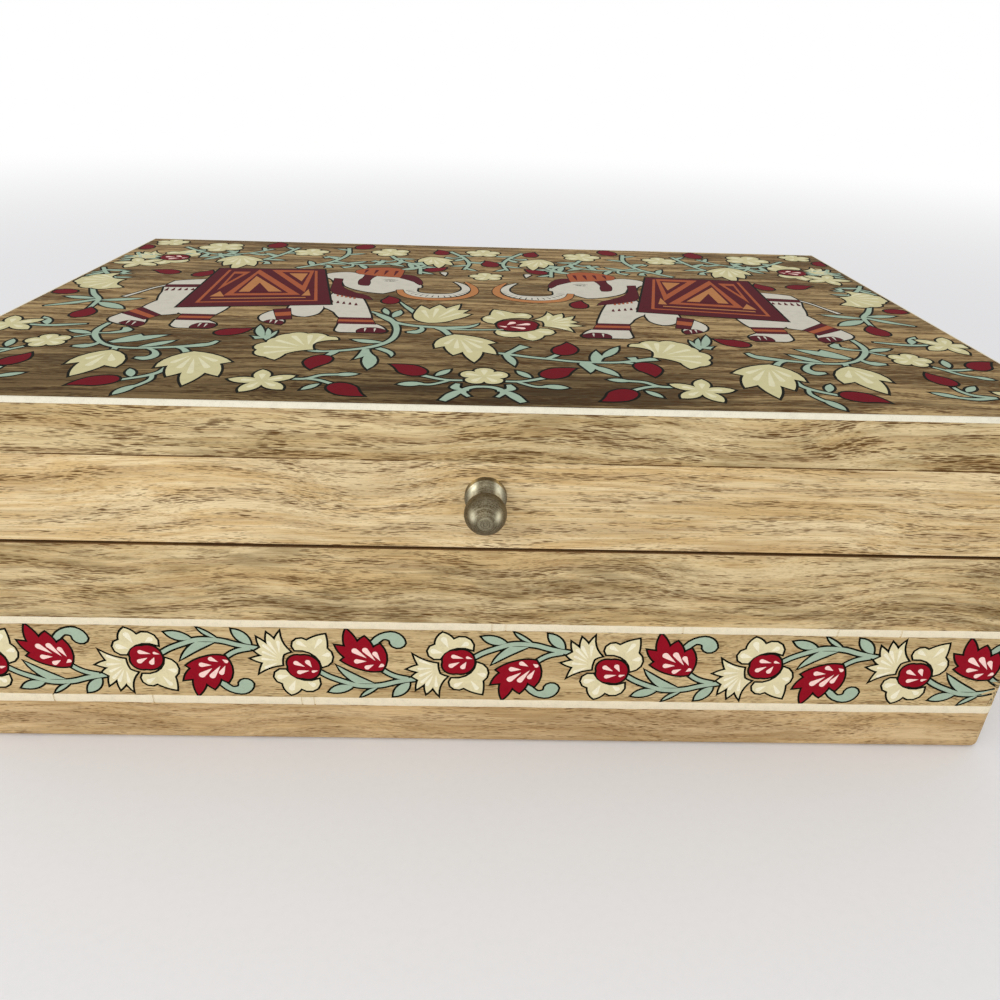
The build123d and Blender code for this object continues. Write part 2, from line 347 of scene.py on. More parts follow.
@pattern("Metal tarnish", {"Vector": VECTOR, "Clean": COLOUR, "Tarnish": COLOUR, "Amount": NUMBER})
def metal_group(tree, given):
    """Turned or drawn metal: tarnish clouds, dark specks and fine tool marks."""
    place = given["Vector"]
    clouds = noise(tree, place, (1.6, 1.6, 1.6), 4, 0.6)
    specks = noise(tree, place, (0.28, 0.28, 0.28), 3)
    marks = noise(tree, place, (4.0, 0.12, 4.0), 2)
    worn = ramp(tree, plus(tree, clouds, times(tree, specks, 0.4)), 0.5, 0.9)
    # On the knob this attribute carries painted light: low at its painted highlights, high for its painted dark
    # reflection, and patina in the tip's grooves.
    grime = add_node(tree, "ShaderNodeAttribute", attribute_name=DARKNESS).outputs["Fac"]
    streaked = times(tree, ramp(tree, clouds, 0.2, 0.6, 0.92, 1.0), ramp(tree, marks, 0.38, 0.6, 0.88, 1.0))
    streaked = times(tree, streaked, ramp(tree, specks, 0.4, 0.6, 0.9, 1.0))
    mask = calc(tree, "MAXIMUM", times(tree, worn, given["Amount"]), times(tree, grime, streaked))
    mixed = blended(tree, mask, given["Clean"], given["Tarnish"])
    return mixed, ramp(tree, mask, 0.0, 1.0, 0.26, 0.55), plus(tree, marks, times(tree, specks, 0.4))


@pattern("Velvet pile", {"Vector": VECTOR, "Base": COLOUR, "Lit": COLOUR})
def velvet_group(tree, given):
    """Short pile: soft brushed clouds and a fine nap."""
    place = given["Vector"]
    brushed = noise(tree, place, (26, 14, 14), 3)
    nap = noise(tree, place, (0.5, 0.5, 0.5), 2)
    lit = plus(tree, ramp(tree, brushed, 0.4, 0.7, 0.0, 0.45), ramp(tree, nap, 0.4, 0.8, 0.0, 0.35))
    return blended(tree, lit, given["Base"], given["Lit"]), ramp(tree, nap, 0.3, 0.7, 0.8, 1.0), nap


MADE = {}


def new_material(name, group, inputs, relief, offset=(0, 0, 0), turned=False, **shader):
    """A material that drives one shader from a node group; relief is the depth of its bumps in metres."""
    if name in MADE:
        return MADE[name]
    made = MADE[name] = bpy.data.materials.new(name)
    made.use_nodes = True
    tree = made.node_tree
    surface = tree.nodes["Principled BSDF"]
    where = add_node(tree, "ShaderNodeTexCoord").outputs["Object"]
    scale = 1 / MM
    mapping = add_node(tree, "ShaderNodeMapping", {"Vector": where})
    mapping.inputs["Location"].default_value = offset
    mapping.inputs["Rotation"].default_value = (0, 0, math.pi / 2 if turned else 0)
    mapping.inputs["Scale"].default_value = (scale, scale, scale)
    pattern = add_node(tree, "ShaderNodeGroup", node_tree=group)
    feed(tree, pattern.inputs["Vector"], mapping.outputs["Vector"])
    for key, value in inputs.items():
        feed(tree, pattern.inputs[key], (*value, 1) if isinstance(value, (tuple, list)) else value)
    feed(tree, surface.inputs["Base Color"], pattern.outputs["Color"])
    feed(tree, surface.inputs["Roughness"], pattern.outputs["Roughness"])
    bump = add_node(tree, "ShaderNodeBump", {"Height": pattern.outputs["Height"], "Distance": relief})
    feed(tree, surface.inputs["Normal"], bump.outputs["Normal"])
    for key, value in shader.items():
        surface.inputs[key.replace("_", " ")].default_value = value
    return made


LACQUER = {"Coat_Weight": 0.07, "Coat_Roughness": 0.16, "Specular_IOR_Level": 0.0}


def plain(value):
    """A colour property as a plain tuple."""
    return tuple(value)


# How much smoke, pores, growth lines and dark front corner each kind of wood shows, and where its grain is taken from
WOOD_LOOKS = {
    "rail": (0.3, 1.0, 0.4, 0.0, (407, 17, 147)),
    "wall": (0.75, 1.1, 0.45, 0.0, (813, 61, 108)),
    "band": (0.4, 0.9, 0.35, 0.0, (90, 12, 151)),
    "plinth": (0.5, 0.8, 0.4, 0.0, (758, 5, 337)),
    "edge": (0.6, 1.25, 0.5, 0.0, (316, 77, 252)),
    "lid": (0.9, 1.3, 0.8, 1.0, (19, 7, 203)),
    "rim": (0.5, 0.8, 0.4, 0.0, (5, 31, 43)),
    "joint": (0.6, 2.6, 0.6, 0.0, (44, 8, 12)),
}


def wood(colours, kind, turned=False):
    """Lacquered wood of one kind, its grain along X, or along Y where turned."""
    smoke, pores, lines, front_left_dark, offset = WOOD_LOOKS[kind]
    shade = "edge" if kind == "joint" else kind
    inputs = {key.capitalize(): plain(getattr(colours, f"{shade}_{key}")) for key in SHADE_USES}
    grain = colours.lid_grain if kind == "lid" else colours.grain
    inputs.update({
        "Grain": plain(grain), "Pore": plain(colours.pore),
        "Pore amount": pores, "Smoke amount": smoke, "Line amount": lines, "Stain amount": front_left_dark,
    })
    name = f"{kind}_wood_turned" if turned else f"{kind}_wood"
    return new_material(name, wood_group(), inputs, 0.05 * MM, offset, turned, **LACQUER)


def resin(colours, key):
    """The inlaid filler of one colour."""
    base = np.array(plain(getattr(colours, key)))
    speck = tuple(float(value) for value in base * 0.62)
    inputs = {"Base": tuple(float(value) for value in base), "Speck": speck, "Speck amount": 0.35}
    return new_material(f"inlay_{key}", resin_group(), inputs, 0.02 * MM, **LACQUER)


def metal(colours, name, clean, amount, relief=0.02 * MM):
    """Brass or steel with its tarnish."""
    inputs = {"Clean": plain(clean), "Tarnish": plain(colours.tarnish), "Amount": amount}
    return new_material(name, metal_group(), inputs, relief, Metallic=1.0)


def velvet(colours):
    """Lining cloth."""
    base = plain(colours.velvet)
    lit = tuple(min(1.0, 1.9 * value + 0.01) for value in base)
    inputs = {"Base": base, "Lit": lit}
    return new_material("velvet", velvet_group(), inputs, 0.15 * MM, Sheen_Weight=0.6, Sheen_Roughness=0.4)


# Meshes


def add_object(name, data):
    """A new object in the scene."""
    made = bpy.data.objects.new(name, data)
    bpy.context.scene.collection.objects.link(made)
    return made


def new_piece(name, points, faces, material, body, node=None, sharp_angle=32):
    """A mesh piece that rides on a body, with edges over the given angle in degrees kept sharp."""
    mesh = bpy.data.meshes.new(name)
    mesh.from_pydata(np.asarray(points).reshape(-1, 3).tolist(), [], faces)
    mesh.update()
    mesh.shade_smooth()
    mesh.set_sharp_from_angle(angle=math.radians(sharp_angle))
    piece = add_object(name, mesh)
    mesh.materials.append(material)
    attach(piece, body)
    if node:
        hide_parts(node)
    return piece


def paint_by_height(piece, materials, levels):
    """Gives each face the material whose band of heights its middle lies in."""
    piece.data.materials.clear()
    for material in materials:
        piece.data.materials.append(material)
    centres = np.empty(3 * len(piece.data.polygons))
    piece.data.polygons.foreach_get("center", centres)
    piece.data.polygons.foreach_set("material_index", np.digitize(centres[2::3], levels).astype(np.int32))


def strip_faces(rows, columns, wrap=False):
    """Quads of a grid of rows by columns, whose columns close into a ring where wrap is set."""
    row, column = np.meshgrid(np.arange(rows - 1), np.arange(columns if wrap else columns - 1), indexing="ij")
    after = (column + 1) % columns
    corners = (row * columns + column, (row + 1) * columns + column, (row + 1) * columns + after, row * columns + after)
    return np.stack(corners, -1).reshape(-1, 4)


def tube_faces(rows, columns):
    """Quads between closed rings of points, and one face over each end ring."""
    faces = strip_faces(rows, columns, wrap=True).tolist()
    faces.append(list(range(columns)))
    faces.append([(rows - 1) * columns + index for index in reversed(range(columns))])
    return faces


def arc(centre, radius, start, end, count=5):
    """Points of an arc in a profile, with angles in degrees from the first axis towards the second."""
    angles = np.radians(np.linspace(start, end, count))
    return [(centre[0] + radius * math.cos(a), centre[1] + radius * math.sin(a)) for a in angles]


def facing(side, points):
    """Turns points made for the front so that they stand on another side of the box."""
    turn = SIDES.index(side) * math.pi / 2
    cosine, sine = math.cos(turn), math.sin(turn)
    x, y, z = points[..., 0], points[..., 1], points[..., 2]
    return np.stack((x * cosine - y * sine, x * sine + y * cosine, z), -1)


def side_spans(side):
    """Half the length of a side and half the box's size across it."""
    if side in ("front", "back"):
        return BOX_WIDTH / 2, BOX_DEPTH / 2
    return BOX_DEPTH / 2, BOX_WIDTH / 2


def mitred_board(side, profile, radius, stations=24, corner_steps=6, waver=None):
    """A closed profile of (inset, height) carried along one side and cut at the mitres.

    Where the inset is below the corner radius, the ends follow 45 degrees of an arc about the corner's centre,
    and deeper in they run to the mitre line. Waver gives each profile point a height to add along the side.
    """
    half, across = side_spans(side)
    inset, height = np.array(profile).T
    straight = np.linspace(-1, 1, stations)
    angles = np.linspace(0, math.pi / 4, corner_steps)[1:]
    along = np.concatenate((-np.ones(len(angles)), straight, np.ones(len(angles))))
    angle = np.concatenate((-angles[::-1], np.zeros(stations), angles))
    near = half - radius
    bend = np.maximum(radius - inset, 0)
    x = along[:, None] * near + bend * np.sin(angle)[:, None]
    reach = half - inset
    rounded = np.sign(angle) * (near + (half - near) * np.abs(angle) * 4 / math.pi) / half
    ratio = np.where(angle == 0, along * near / half, rounded)
    x = np.where(inset < radius, x, ratio[:, None] * reach)
    y = np.where(inset < radius, -across + radius - bend * np.cos(angle)[:, None], -across + inset)
    y = np.broadcast_to(y, x.shape)
    z = np.broadcast_to(height, x.shape).copy()
    if waver is not None:
        z += waver(x)
    points = facing(side, np.stack((x, y, z), -1))
    return points.reshape(-1, 3), tube_faces(*x.shape)


def outward(points, faces):
    """The faces, turned round where the closed mesh's volume comes out negative."""
    places = np.asarray(points)
    volume = 0.0
    for face in faces:
        corners = places[list(face)]
        normal = np.cross(corners[1:-1] - corners[0], corners[2:] - corners[0])
        volume += float(np.einsum("ij,j->", normal, corners[0]))
    return faces if volume > 0 else [face[::-1] for face in faces]


def box_corners(low, high):
    """The eight corners of a box between its lowest and highest corners; x changes slowest and z fastest."""
    return [(x, y, z) for x in (low[0], high[0]) for y in (low[1], high[1]) for z in (low[2], high[2])]


def cut_away(piece, cutters):
    """Cuts solids out of a piece, each given by eight corners in the order of box_corners."""
    for corners in cutters:
        cutter_mesh = bpy.data.meshes.new("cutter")
        sides = [(0, 1, 3, 2), (4, 6, 7, 5), (0, 4, 5, 1), (2, 3, 7, 6), (0, 2, 6, 4), (1, 5, 7, 3)]
        cutter_mesh.from_pydata(corners, [], sides)
        cutter = add_object("cutter", cutter_mesh)
        cut = piece.modifiers.new("cut", "BOOLEAN")
        cut.operation = "DIFFERENCE"
        cut.solver = "EXACT"
        cut.object = cutter
        bpy.context.view_layer.update()
        graph = bpy.context.evaluated_depsgraph_get()
        result = bpy.data.meshes.new_from_object(piece.evaluated_get(graph))
        piece.modifiers.clear()
        result.name = piece.name
        piece.data = result
        bpy.data.objects.remove(cutter)


def hinge_cuts(direction, spare=0.1 * MM, relief=0.3 * MM):
    """The room that the hinges need in the base's rim for -1, or the lid's for 1."""
    cutters = []
    leaf_kind = "base" if direction < 0 else "lid"
    for side in ("left", "right"):
        low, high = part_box(f"hinge_{side}_{leaf_kind}_leaf")
        barrel = high.y - HINGE_AXIS.y
        rim = BASE_TOP if direction < 0 else LID_BOTTOM
        leaf_thickness = barrel - (PIN_HIGH.z - PIN_LOW.z) / 2
        inner = rim + direction * (leaf_thickness + spare)
        outer = rim - direction * barrel
        bottom, top = sorted((inner, outer))
        cutters.append(box_corners((low.x - spare, low.y - spare, bottom), (high.x + spare, HINGE_AXIS.y, top)))
        reach = barrel + relief
        cutters.append(box_corners(
            (low.x - relief, HINGE_AXIS.y - reach, HINGE_AXIS.z - reach),
            (high.x + relief, HINGE_AXIS.y + 2 * reach, HINGE_AXIS.z + reach),
        ))
    return cutters


REAR_BEVEL = 50.5
REAR_RUN = BOX_DEPTH / 2 - HINGE_AXIS.y


def bevel_drop():
    """How far the rear bevel has gone up or down when it reaches the rear face."""
    return REAR_RUN * math.tan(math.radians(REAR_BEVEL))


def rear_wedge(direction, reach=6 * MM):
    """The wedge that the rear bevel takes off the base's rim for -1, or off the lid's for 1, all along the back."""
    rim = BASE_TOP if direction < 0 else LID_BOTTOM
    far = rim + direction * reach * math.tan(math.radians(REAR_BEVEL))
    half = BOX_WIDTH / 2 + MM
    edges = ((HINGE_AXIS.y, rim), (HINGE_AXIS.y + reach, far))
    return [(x, y, z) for x in (-half, half) for y, deep in edges for z in sorted((deep, rim - direction * MM))]


def rim_cuts(side, direction):
    """What is cut out of one base wall for -1, or one lid rail for 1."""
    if side == "back":
        return hinge_cuts(direction)
    return [] if side == "front" else [rear_wedge(direction)]


def base_profile(sizes, side):
    """Outline of a base wall: rounded foot, string grooves, eased or bevelled rim, rabbet for the bottom."""
    skin, foot, arris = sizes.skin, sizes.bottom_radius, sizes.arris_radius
    panel_top = node_high("base_bottom_panel").z
    rabbet = WALL / 2
    profile = arc((skin + foot, foot), foot, 270, 180, 6)
    for string in ("lower", "upper"):
        low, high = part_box(f"base_{string}_string_{side}")
        profile += [(skin, low.z), (sizes.string_depth, low.z), (sizes.string_depth, high.z), (skin, high.z)]
    if side == "back":
        profile += [(skin, BASE_TOP - bevel_drop() * (1 - skin / REAR_RUN)), (REAR_RUN, BASE_TOP)]
    else:
        profile += arc((skin + arris, BASE_TOP - arris), arris, 180, 90)
    profile += arc((WALL - arris, BASE_TOP - arris), arris, 90, 0)
    return profile + [(WALL, panel_top), (rabbet, panel_top), (rabbet, 0)]


def rail_profile(sizes, side):
    """Outline of a lid rail, with eased edges or the rear bevel below."""
    skin, arris = sizes.skin, sizes.arris_radius
    if side == "back":
        profile = [(REAR_RUN, LID_BOTTOM), (skin, LID_BOTTOM + bevel_drop() * (1 - skin / REAR_RUN))]
    else:
        profile = arc((skin + arris, LID_BOTTOM + arris), arris, 270, 180)
    profile += [(skin, RAIL_TOP - sizes.joint), (skin + 0.5 * sizes.joint, RAIL_TOP)]
    profile += [(WALL, RAIL_TOP)]
    return profile + arc((WALL - arris, LID_BOTTOM + arris), arris, 0, -90)


def crown_inset_at(sizes, height):
    """How far in the lid's crowned edge is at a height: an arc that starts upright and ends at the crown inset."""
    rise = max(height - (BOX_TOP - sizes.crown_drop), 0.0)
    radius = (sizes.crown_inset**2 + sizes.crown_drop**2) / (2 * sizes.crown_inset)
    return radius - math.sqrt(radius**2 - rise**2)


def offset_rings(profile, radius, corner_steps=7):
    """A profile of (inset, height) carried all round the box's rounded outline, one closed ring per profile point."""
    inset, height = np.array(profile).T
    angles = np.linspace(0, math.pi / 2, corner_steps)
    rings = []
    for quarter, (sign_x, sign_y) in enumerate(((1, -1), (1, 1), (-1, 1), (-1, -1))):
        turn = angles + (quarter - 1) * math.pi / 2
        bend = np.maximum(radius - inset, 0)[:, None]
        spare = np.maximum(inset - radius, 0)[:, None]
        x = sign_x * (BOX_WIDTH / 2 - radius - spare) + bend * np.cos(turn)
        y = sign_y * (BOX_DEPTH / 2 - radius - spare) + bend * np.sin(turn)
        rings.append(np.stack((x, y, np.broadcast_to(height[:, None], x.shape)), -1))
    return np.concatenate(rings, axis=1)


# Flat drawings: closed outlines as arrays of complex numbers, counterclockwise, in millimetres

ALMOST_STRAIGHT = 1e-9


def flat(point):
    """A plane point, given as (x, y) or as a complex number, as a complex number."""
    return complex(*point) if isinstance(point, tuple) else complex(point)


def bulged(spots, bulges, steps=5):
    """A closed outline through complex points, with an arc from each to the next.

    Bulge is the arc's rise over half its chord, positive outwards. A point of the arc lies from its start at the
    chord times sin(t h) / sin(h), turned by (1 - t) h, where h is half the arc's angle and t goes from 0 to 1.
    """
    start = np.array(spots)
    chord = np.roll(start, -1) - start
    half = 2 * np.arctan(bulges) + ALMOST_STRAIGHT
    share = np.arange(steps) / steps
    ratio = np.sin(share * half[:, None]) / np.sin(half[:, None])
    return (start[:, None] + chord[:, None] * ratio * np.exp(-1j * (1 - share) * half[:, None])).ravel()


def arcs(corners, steps=5):
    """A closed outline through corners of (x, y, bulge)."""
    x, y, bulge = np.array(corners, float).T
    return bulged(x + 1j * y, bulge, steps)


def through(points, count):
    """A smooth curve through points, by the Catmull and Rom cubic between each pair of neighbours."""
    spots = np.array([flat(point) for point in points])
    spots = np.concatenate(([2 * spots[0] - spots[1]], spots, [2 * spots[-1] - spots[-2]]))
    place = np.linspace(0, len(points) - 1, count)
    index = np.minimum(place.astype(int), len(points) - 2)
    t = place - index
    a, b, c, d = (spots[index + shift] for shift in range(4))
    return 0.5 * (2 * b + (c - a) * t + (2 * a - 5 * b + 4 * c - d) * t**2 + (3 * b - a - 3 * c + d) * t**3)


def ribbon(points, widths, count=0):
    """The outline of a ribbon along a smooth curve, whose width goes through the given widths."""
    count = count or 5 * len(points)
    spine = through(points, count)
    tangent = np.gradient(spine)
    normal = 1j * tangent / np.abs(tangent)
    width = np.interp(np.linspace(0, 1, count), np.linspace(0, 1, len(widths)), widths) / 2
    return np.concatenate((spine - normal * width, (spine + normal * width)[::-1]))


def leaf(base, tip, right=0.3, left=0.3):
    """A leaf's outline: two arcs between its base and its tip."""
    return bulged((flat(base), flat(tip)), (right, left), 7)


def drop(tail, head, width):
    """A teardrop from a pointed tail to a round head."""
    start, end = flat(tail), flat(head)
    side = 1j * (end - start) / abs(end - start) * width / 2
    return bulged((start, end - side, end + side), (0.02, 1.0, 0.02), 6)


def petalled(radius, petals, depth, sharp=1.0, turn=0.0, count=60):
    """A flower's outline: its radius falls by the depth between petals, as |cos(n a / 2)| to a power."""
    angle = np.linspace(0, 2 * math.pi, count, endpoint=False)
    wave = np.abs(np.cos(petals * angle / 2)) ** sharp
    return radius * (1 - depth + depth * wave) * np.exp(1j * (angle + turn))


def signed_area(loop):
    """The area inside an outline, negative where it runs clockwise."""
    return float(np.sum((loop.conj() * np.roll(loop, -1)).imag)) / 2


INK_WIDTH = 0.6
INK = "ink"
LIFTS = 24
LIFT_RANGE = 0.45


class Drawing:
    """Flat shapes by colour, each an outline with the layer that it lies on."""

    def __init__(self):
        self.tiles = []
        self.lines = []

    def fill(self, key, loop, layer=1, ink=INK_WIDTH):
        """Adds a coloured shape, with a dark line round it on the layer below."""
        self.tiles.append((key, loop, layer))
        if ink:
            self.lines.append((loop, layer - 0.5, ink))

    def add(self, other, scale=1.0, turn=0.0, shift=0j, flip=False, mirror=None, raised=0):
        """Adds another drawing, scaled, turned in degrees, shifted, flipped top to bottom or mirrored about an x."""
        factor = scale * np.exp(1j * math.radians(turn))

        def moved(loop):
            loop = (loop.conj() if flip else loop) * factor + shift
            loop = loop if mirror is None else 2 * mirror - loop.conj()
            return loop if signed_area(loop) > 0 else loop[::-1]

        self.tiles += [(key, moved(loop), layer + raised) for key, loop, layer in other.tiles]
        self.lines += [(moved(loop), layer + raised, ink) for loop, layer, ink in other.lines]
        return self

    def squeezed(self, share):
        """The same drawing with its x values multiplied by a share."""
        made = Drawing()
        made.tiles = [(key, loop.real * share + 1j * loop.imag, layer) for key, loop, layer in self.tiles]
        made.lines = [(loop.real * share + 1j * loop.imag, layer, ink) for loop, layer, ink in self.lines]
        return made

    def clipped(self, half_x, half_y):
        """The same drawing kept within a rectangle about its middle, without the shapes that lie outside."""
        made = Drawing()

        def inside(loop):
            return np.any((np.abs(loop.real) < half_x) & (np.abs(loop.imag) < half_y))

        def cut(loop):
            return np.clip(loop.real, -half_x, half_x) + 1j * np.clip(loop.imag, -half_y, half_y)

        made.tiles = [(key, cut(loop), layer) for key, loop, layer in self.tiles if inside(loop)]
        made.lines = [(cut(loop), layer, ink) for loop, layer, ink in self.lines if inside(loop)]
        return made

    def keys(self):
        """The colours in use, in a steady order."""
        return sorted({key for key, _, _ in self.tiles} | {INK})


def tile_mesh(loop, layer):
    """A thin slab under an outline: rings of its top and bottom points, as (outline, layer or None for the back)."""
    count = len(loop)
    index = np.arange(count)
    after = (index + 1) % count
    walls = np.stack((index + count, after + count, after, index), -1)
    faces = [index.tolist(), (index[::-1] + count).tolist()] + walls.tolist()
    return np.concatenate((loop, loop)), np.repeat((layer, -1.0), count), faces


def line_mesh(loop, layer, width):
    """A thin dark line round an outline: a flat rectangle carried along it, mitred at the corners."""
    before, after = loop - np.roll(loop, 1), np.roll(loop, -1) - loop
    before, after = (step / np.maximum(np.abs(step), 1e-9) for step in (before, after))
    normal = -1j * (before + after)
    strength = np.maximum(np.abs(normal), 0.7)
    normal = 2 * normal / strength**2
    outer, inner = loop + normal * width, loop - normal * width / 3
    count = len(loop)
    rings = np.concatenate((outer, inner, inner, outer))
    layers = np.repeat((layer, layer, -1.0, -1.0), count)
    ring, index = np.meshgrid(np.arange(4), np.arange(count), indexing="ij")
    after_ring, after_index = (ring + 1) % 4, (index + 1) % count
    corners = (ring * count + index, ring * count + after_index,
               after_ring * count + after_index, after_ring * count + index)
    return rings, layers, np.stack(corners, -1).reshape(-1, 4).tolist()


def inlay_pieces(drawing, prefix, colours, body, place, boldness=1.0, shaded_colours=()):
    """One piece for each colour of a drawing; place turns plane points and layers into points on the box."""
    made = []
    lifts = np.arange(len(drawing.tiles) + len(drawing.lines)) % LIFTS * (LIFT_RANGE / LIFTS)
    tiles = [(key, tile_mesh(loop, layer + lift)) for (key, loop, layer), lift in zip(drawing.tiles, lifts)]
    tiles += [
        (INK, line_mesh(loop, layer + lift, width * boldness))
        for (loop, layer, width), lift in zip(drawing.lines, lifts)
    ]
    for key in drawing.keys():
        meshes = [mesh for name, mesh in tiles if name == key]
        spots, layers, faces, total = [], [], [], 0
        for loop, heights, corners in meshes:
            spots.append(loop)
            layers.append(heights)
            faces += [[corner + total for corner in face] for face in corners]
            total += len(loop)
        points = place(np.concatenate(spots), np.concatenate(layers))
        # Listed colours take their darker lid copy, painted shade for the lid's top.
        shade = f"lid_{key}" if key in shaded_colours else key
        made.append(new_piece(f"{prefix}_{key}", points, faces, resin(colours, shade), body))
    return made


def layer_depths(sizes, layers):
    """How far each layer lies inside the frame's face; the back of every tile is let into the wood."""
    return np.where(layers < 0, sizes.skin + sizes.tile_depth, sizes.skin - layers * sizes.layer)


def wrap_round(sizes, side):
    """A place function for a wall: x runs along it and on round its corners, y is the height."""
    half, across = side_spans(side)
    radius = sizes.corner_radius
    straight = half - radius

    def place(spots, layers):
        along = spots.real * MM
        past = np.abs(along) - straight
        angle = np.clip(past / radius, 0, math.pi / 2)
        beyond = np.maximum(past - radius * math.pi / 2, 0)
        depth = layer_depths(sizes, layers)
        bend = radius - depth
        x = np.sign(along) * (np.minimum(np.abs(along), straight) + bend * np.sin(angle))
        y = -across + radius - bend * np.cos(angle) + beyond
        return facing(side, np.stack((x, y, spots.imag * MM), -1))

    return place


def on_top(sizes):
    """A place function for the lid's top: x to the right and y to the back, from its middle."""
    def place(spots, layers):
        return np.stack((spots.real * MM, spots.imag * MM, BOX_TOP - layer_depths(sizes, layers)), -1)

    return place


# The flower band of the walls, one repeat, with the rosette's middle at the origin

BAND_PITCH = 43.57
BAND_OTHER_PITCH = 41.66
BAND_UNITS = 24
BAND_FRONT_UNITS = 7
BAND_FIRST = -136.4
BAND_RISE = -0.8


def band_rosette():
    """A crimson four lobed centre with two cream petals and a spiky cream fan round it."""
    made = Drawing()
    right_petal = [(5.4, -0.3, 0.66), (7.0, 6.2, 0.08), (6.9, 11.0, 0.12), (1.7, 8.8, 0.95), (-1.8, 5.5, -0.45)]
    lower_petal = [(-5.0, -1.6, 1.1), (-6.2, -6.5, 0.25), (-4.2, -10.6, 0.2), (-1.2, -8.3, 0.8), (4.1, -4.9, -0.45)]
    fan = [
        (-3.2, 4.9, -0.2), (-5.6, 11.5, 0.08), (-7.1, 8.8, 0.08), (-9.0, 11.1, 0.1), (-9.3, 7.3, 0.05),
        (-11.8, 9.5, 0.1), (-11.2, 6.2, 0.0), (-12.9, 5.0, 0.1), (-11.0, 3.3, 0.05), (-14.1, 2.3, 0.1),
        (-11.0, 0.9, 0.05), (-12.3, -2.6, -0.14), (-5.8, 0.2, -0.1), (-5.2, 3.9, -0.1),
    ]
    for corners in (right_petal, lower_petal, fan):
        made.fill("cream", arcs(corners))
    strokes = [
        ((1.6, 6.6), (-0.5, 8.0), 1.5), ((3.6, 6.0), (5.4, 8.9), 1.4), ((5.4, 3.6), (7.2, 4.0), 1.6),
        ((-4.2, -3.6), (-6.8, -4.2), 1.8), ((-2.6, -5.4), (-3.9, -8.3), 1.8), ((0.8, -6.0), (2.3, -6.9), 1.6),
        ((-6.2, 4.2), (-6.2, 8.2), 1.0), ((-6.8, 4.0), (-8.8, 7.9), 1.1), ((-7.0, 3.4), (-10.2, 6.9), 1.0),
        ((-7.0, 2.6), (-10.6, 4.6), 0.9), ((-7.0, 1.8), (-11.0, 2.2), 0.9), ((-6.8, 1.0), (-10.4, -0.8), 1.0),
    ]
    for tail, head, width in strokes:
        made.fill("light", drop(tail, head, width), 2, ink=0)
    centre = [(-0.5, 3.5, 0.62), (-4.1, -0.4, 0.55), (-0.4, -4.4, 0.5), (4.4, -1.8, 0.6)]
    made.fill("crimson", arcs(centre, 8))
    seeds = [((0.5, -0.4), (-1.9, 0.9), 1.5), ((2.4, -0.6), (1.4, 1.3), 1.5), ((1.6, -1.8), (-1.2, -2.4), 1.4),
             ((4.1, -1.7), (2.7, -2.1), 0.9)]
    for tail, head, width in seeds:
        made.fill("blush", drop(tail, head, width), 2, ink=0)
    return made


def band_tulip():
    """A crimson tulip with blush drops, on its own short stem, and a sage hook over it."""
    made = Drawing()
    flower = [
        (22.1, -1.3, 0.33), (21.9, 7.9, 0.1), (19.9, 6.5, 0.14), (17.7, 10.4, 0.1), (15.6, 8.4, 0.12),
        (12.8, 12.9, 0.16), (12.3, 6.9, 0.0), (9.6, 7.3, 0.16), (12.1, 3.2, 0.0), (11.0, 2.1, 0.12), (16.6, -1.0, 0.16),
    ]
    made.fill("sage", ribbon([(22.1, -0.9), (24.0, -2.4), (26.2, -3.5), (29.4, -4.3)], (1.1, 1.3)), 1)
    hook = [(19.0, 7.6, 0.0), (20.1, 6.6, -0.1), (22.9, 9.8, -0.2), (24.7, 9.4, -0.1), (24.9, 8.2, 0.75),
            (28.9, 8.5, 0.4), (25.0, 12.1, 0.3)]
    made.fill("sage", arcs(hook), 1)
    made.fill("crimson", arcs(flower), 2)
    drops = [
        ((18.0, 3.0), (14.8, 5.5), 1.8), ((20.4, 2.1), (17.7, 5.8), 1.7), ((21.8, 2.0), (20.4, 4.6), 1.5),
        ((17.9, 1.9), (15.2, 1.8), 1.6), ((19.9, 0.7), (18.0, -0.3), 1.5), ((21.2, -0.2), (22.2, 0.5), 1.2),
    ]
    for tail, head, width in drops:
        made.fill("blush", drop(tail, head, width), 3, ink=0)
    return made


def band_stems():
    """The main stem from one rosette to the next, with its leaves."""
    made = Drawing()
    stem = [
        (4.2, -1.9), (7.1, -3.8), (10.6, -5.4), (14.4, -6.8), (17.8, -7.1), (21.9, -6.7), (26.2, -5.4), (31.4, -4.3),
    ]
    made.fill("sage", ribbon(stem, (1.2, 1.4, 1.3)), 1)
    made.fill("sage", arcs([(9.6, 0.1, 0.14), (14.6, -6.2, 0.0), (19.8, -6.2, -0.04)]), 1)
    made.fill("sage", leaf((13.6, -7.4), (6.7, -9.4), 0.42, 0.3), 1)
    made.fill("sage", leaf((20.6, -7.6), (15.8, -11.0), 0.24, 0.1), 1)
    made.fill("sage", leaf((29.8, -5.6), (25.1, -10.7), 0.4, 0.42), 1)
    return made


def band_unit():
    """One repeat of the band."""
    return Drawing().add(band_stems()).add(band_tulip()).add(band_rosette(), raised=1)


def band_drawings(sizes):
    """The band's repeats, every second one flipped, as a drawing for each side."""
    unit = band_unit()
    low = node_high("base_lower_string_front").z / MM
    high = node_low("base_upper_string_front").z / MM
    middle = (low + high) / 2
    made = {side: Drawing() for side in SIDES}
    corner = sizes.corner_radius * math.pi / 2 / MM
    halves = [(side_spans(side)[0] - sizes.corner_radius) / MM for side in SIDES]
    turn, place = 0, BAND_FIRST
    for index in range(BAND_UNITS):
        if place > halves[turn] + corner / 2:
            place -= halves[turn] + corner + halves[(turn + 1) % 4]
            turn = (turn + 1) % 4
        pitch = BAND_PITCH if index < BAND_FRONT_UNITS else BAND_OTHER_PITCH
        flipped = index % 2 == 1
        rise = middle + (-BAND_RISE if flipped else BAND_RISE)
        squeezed = unit.squeezed(pitch / BAND_PITCH)
        made[SIDES[turn]].add(squeezed, shift=complex(place, rise), flip=flipped)
        place += pitch
    return made


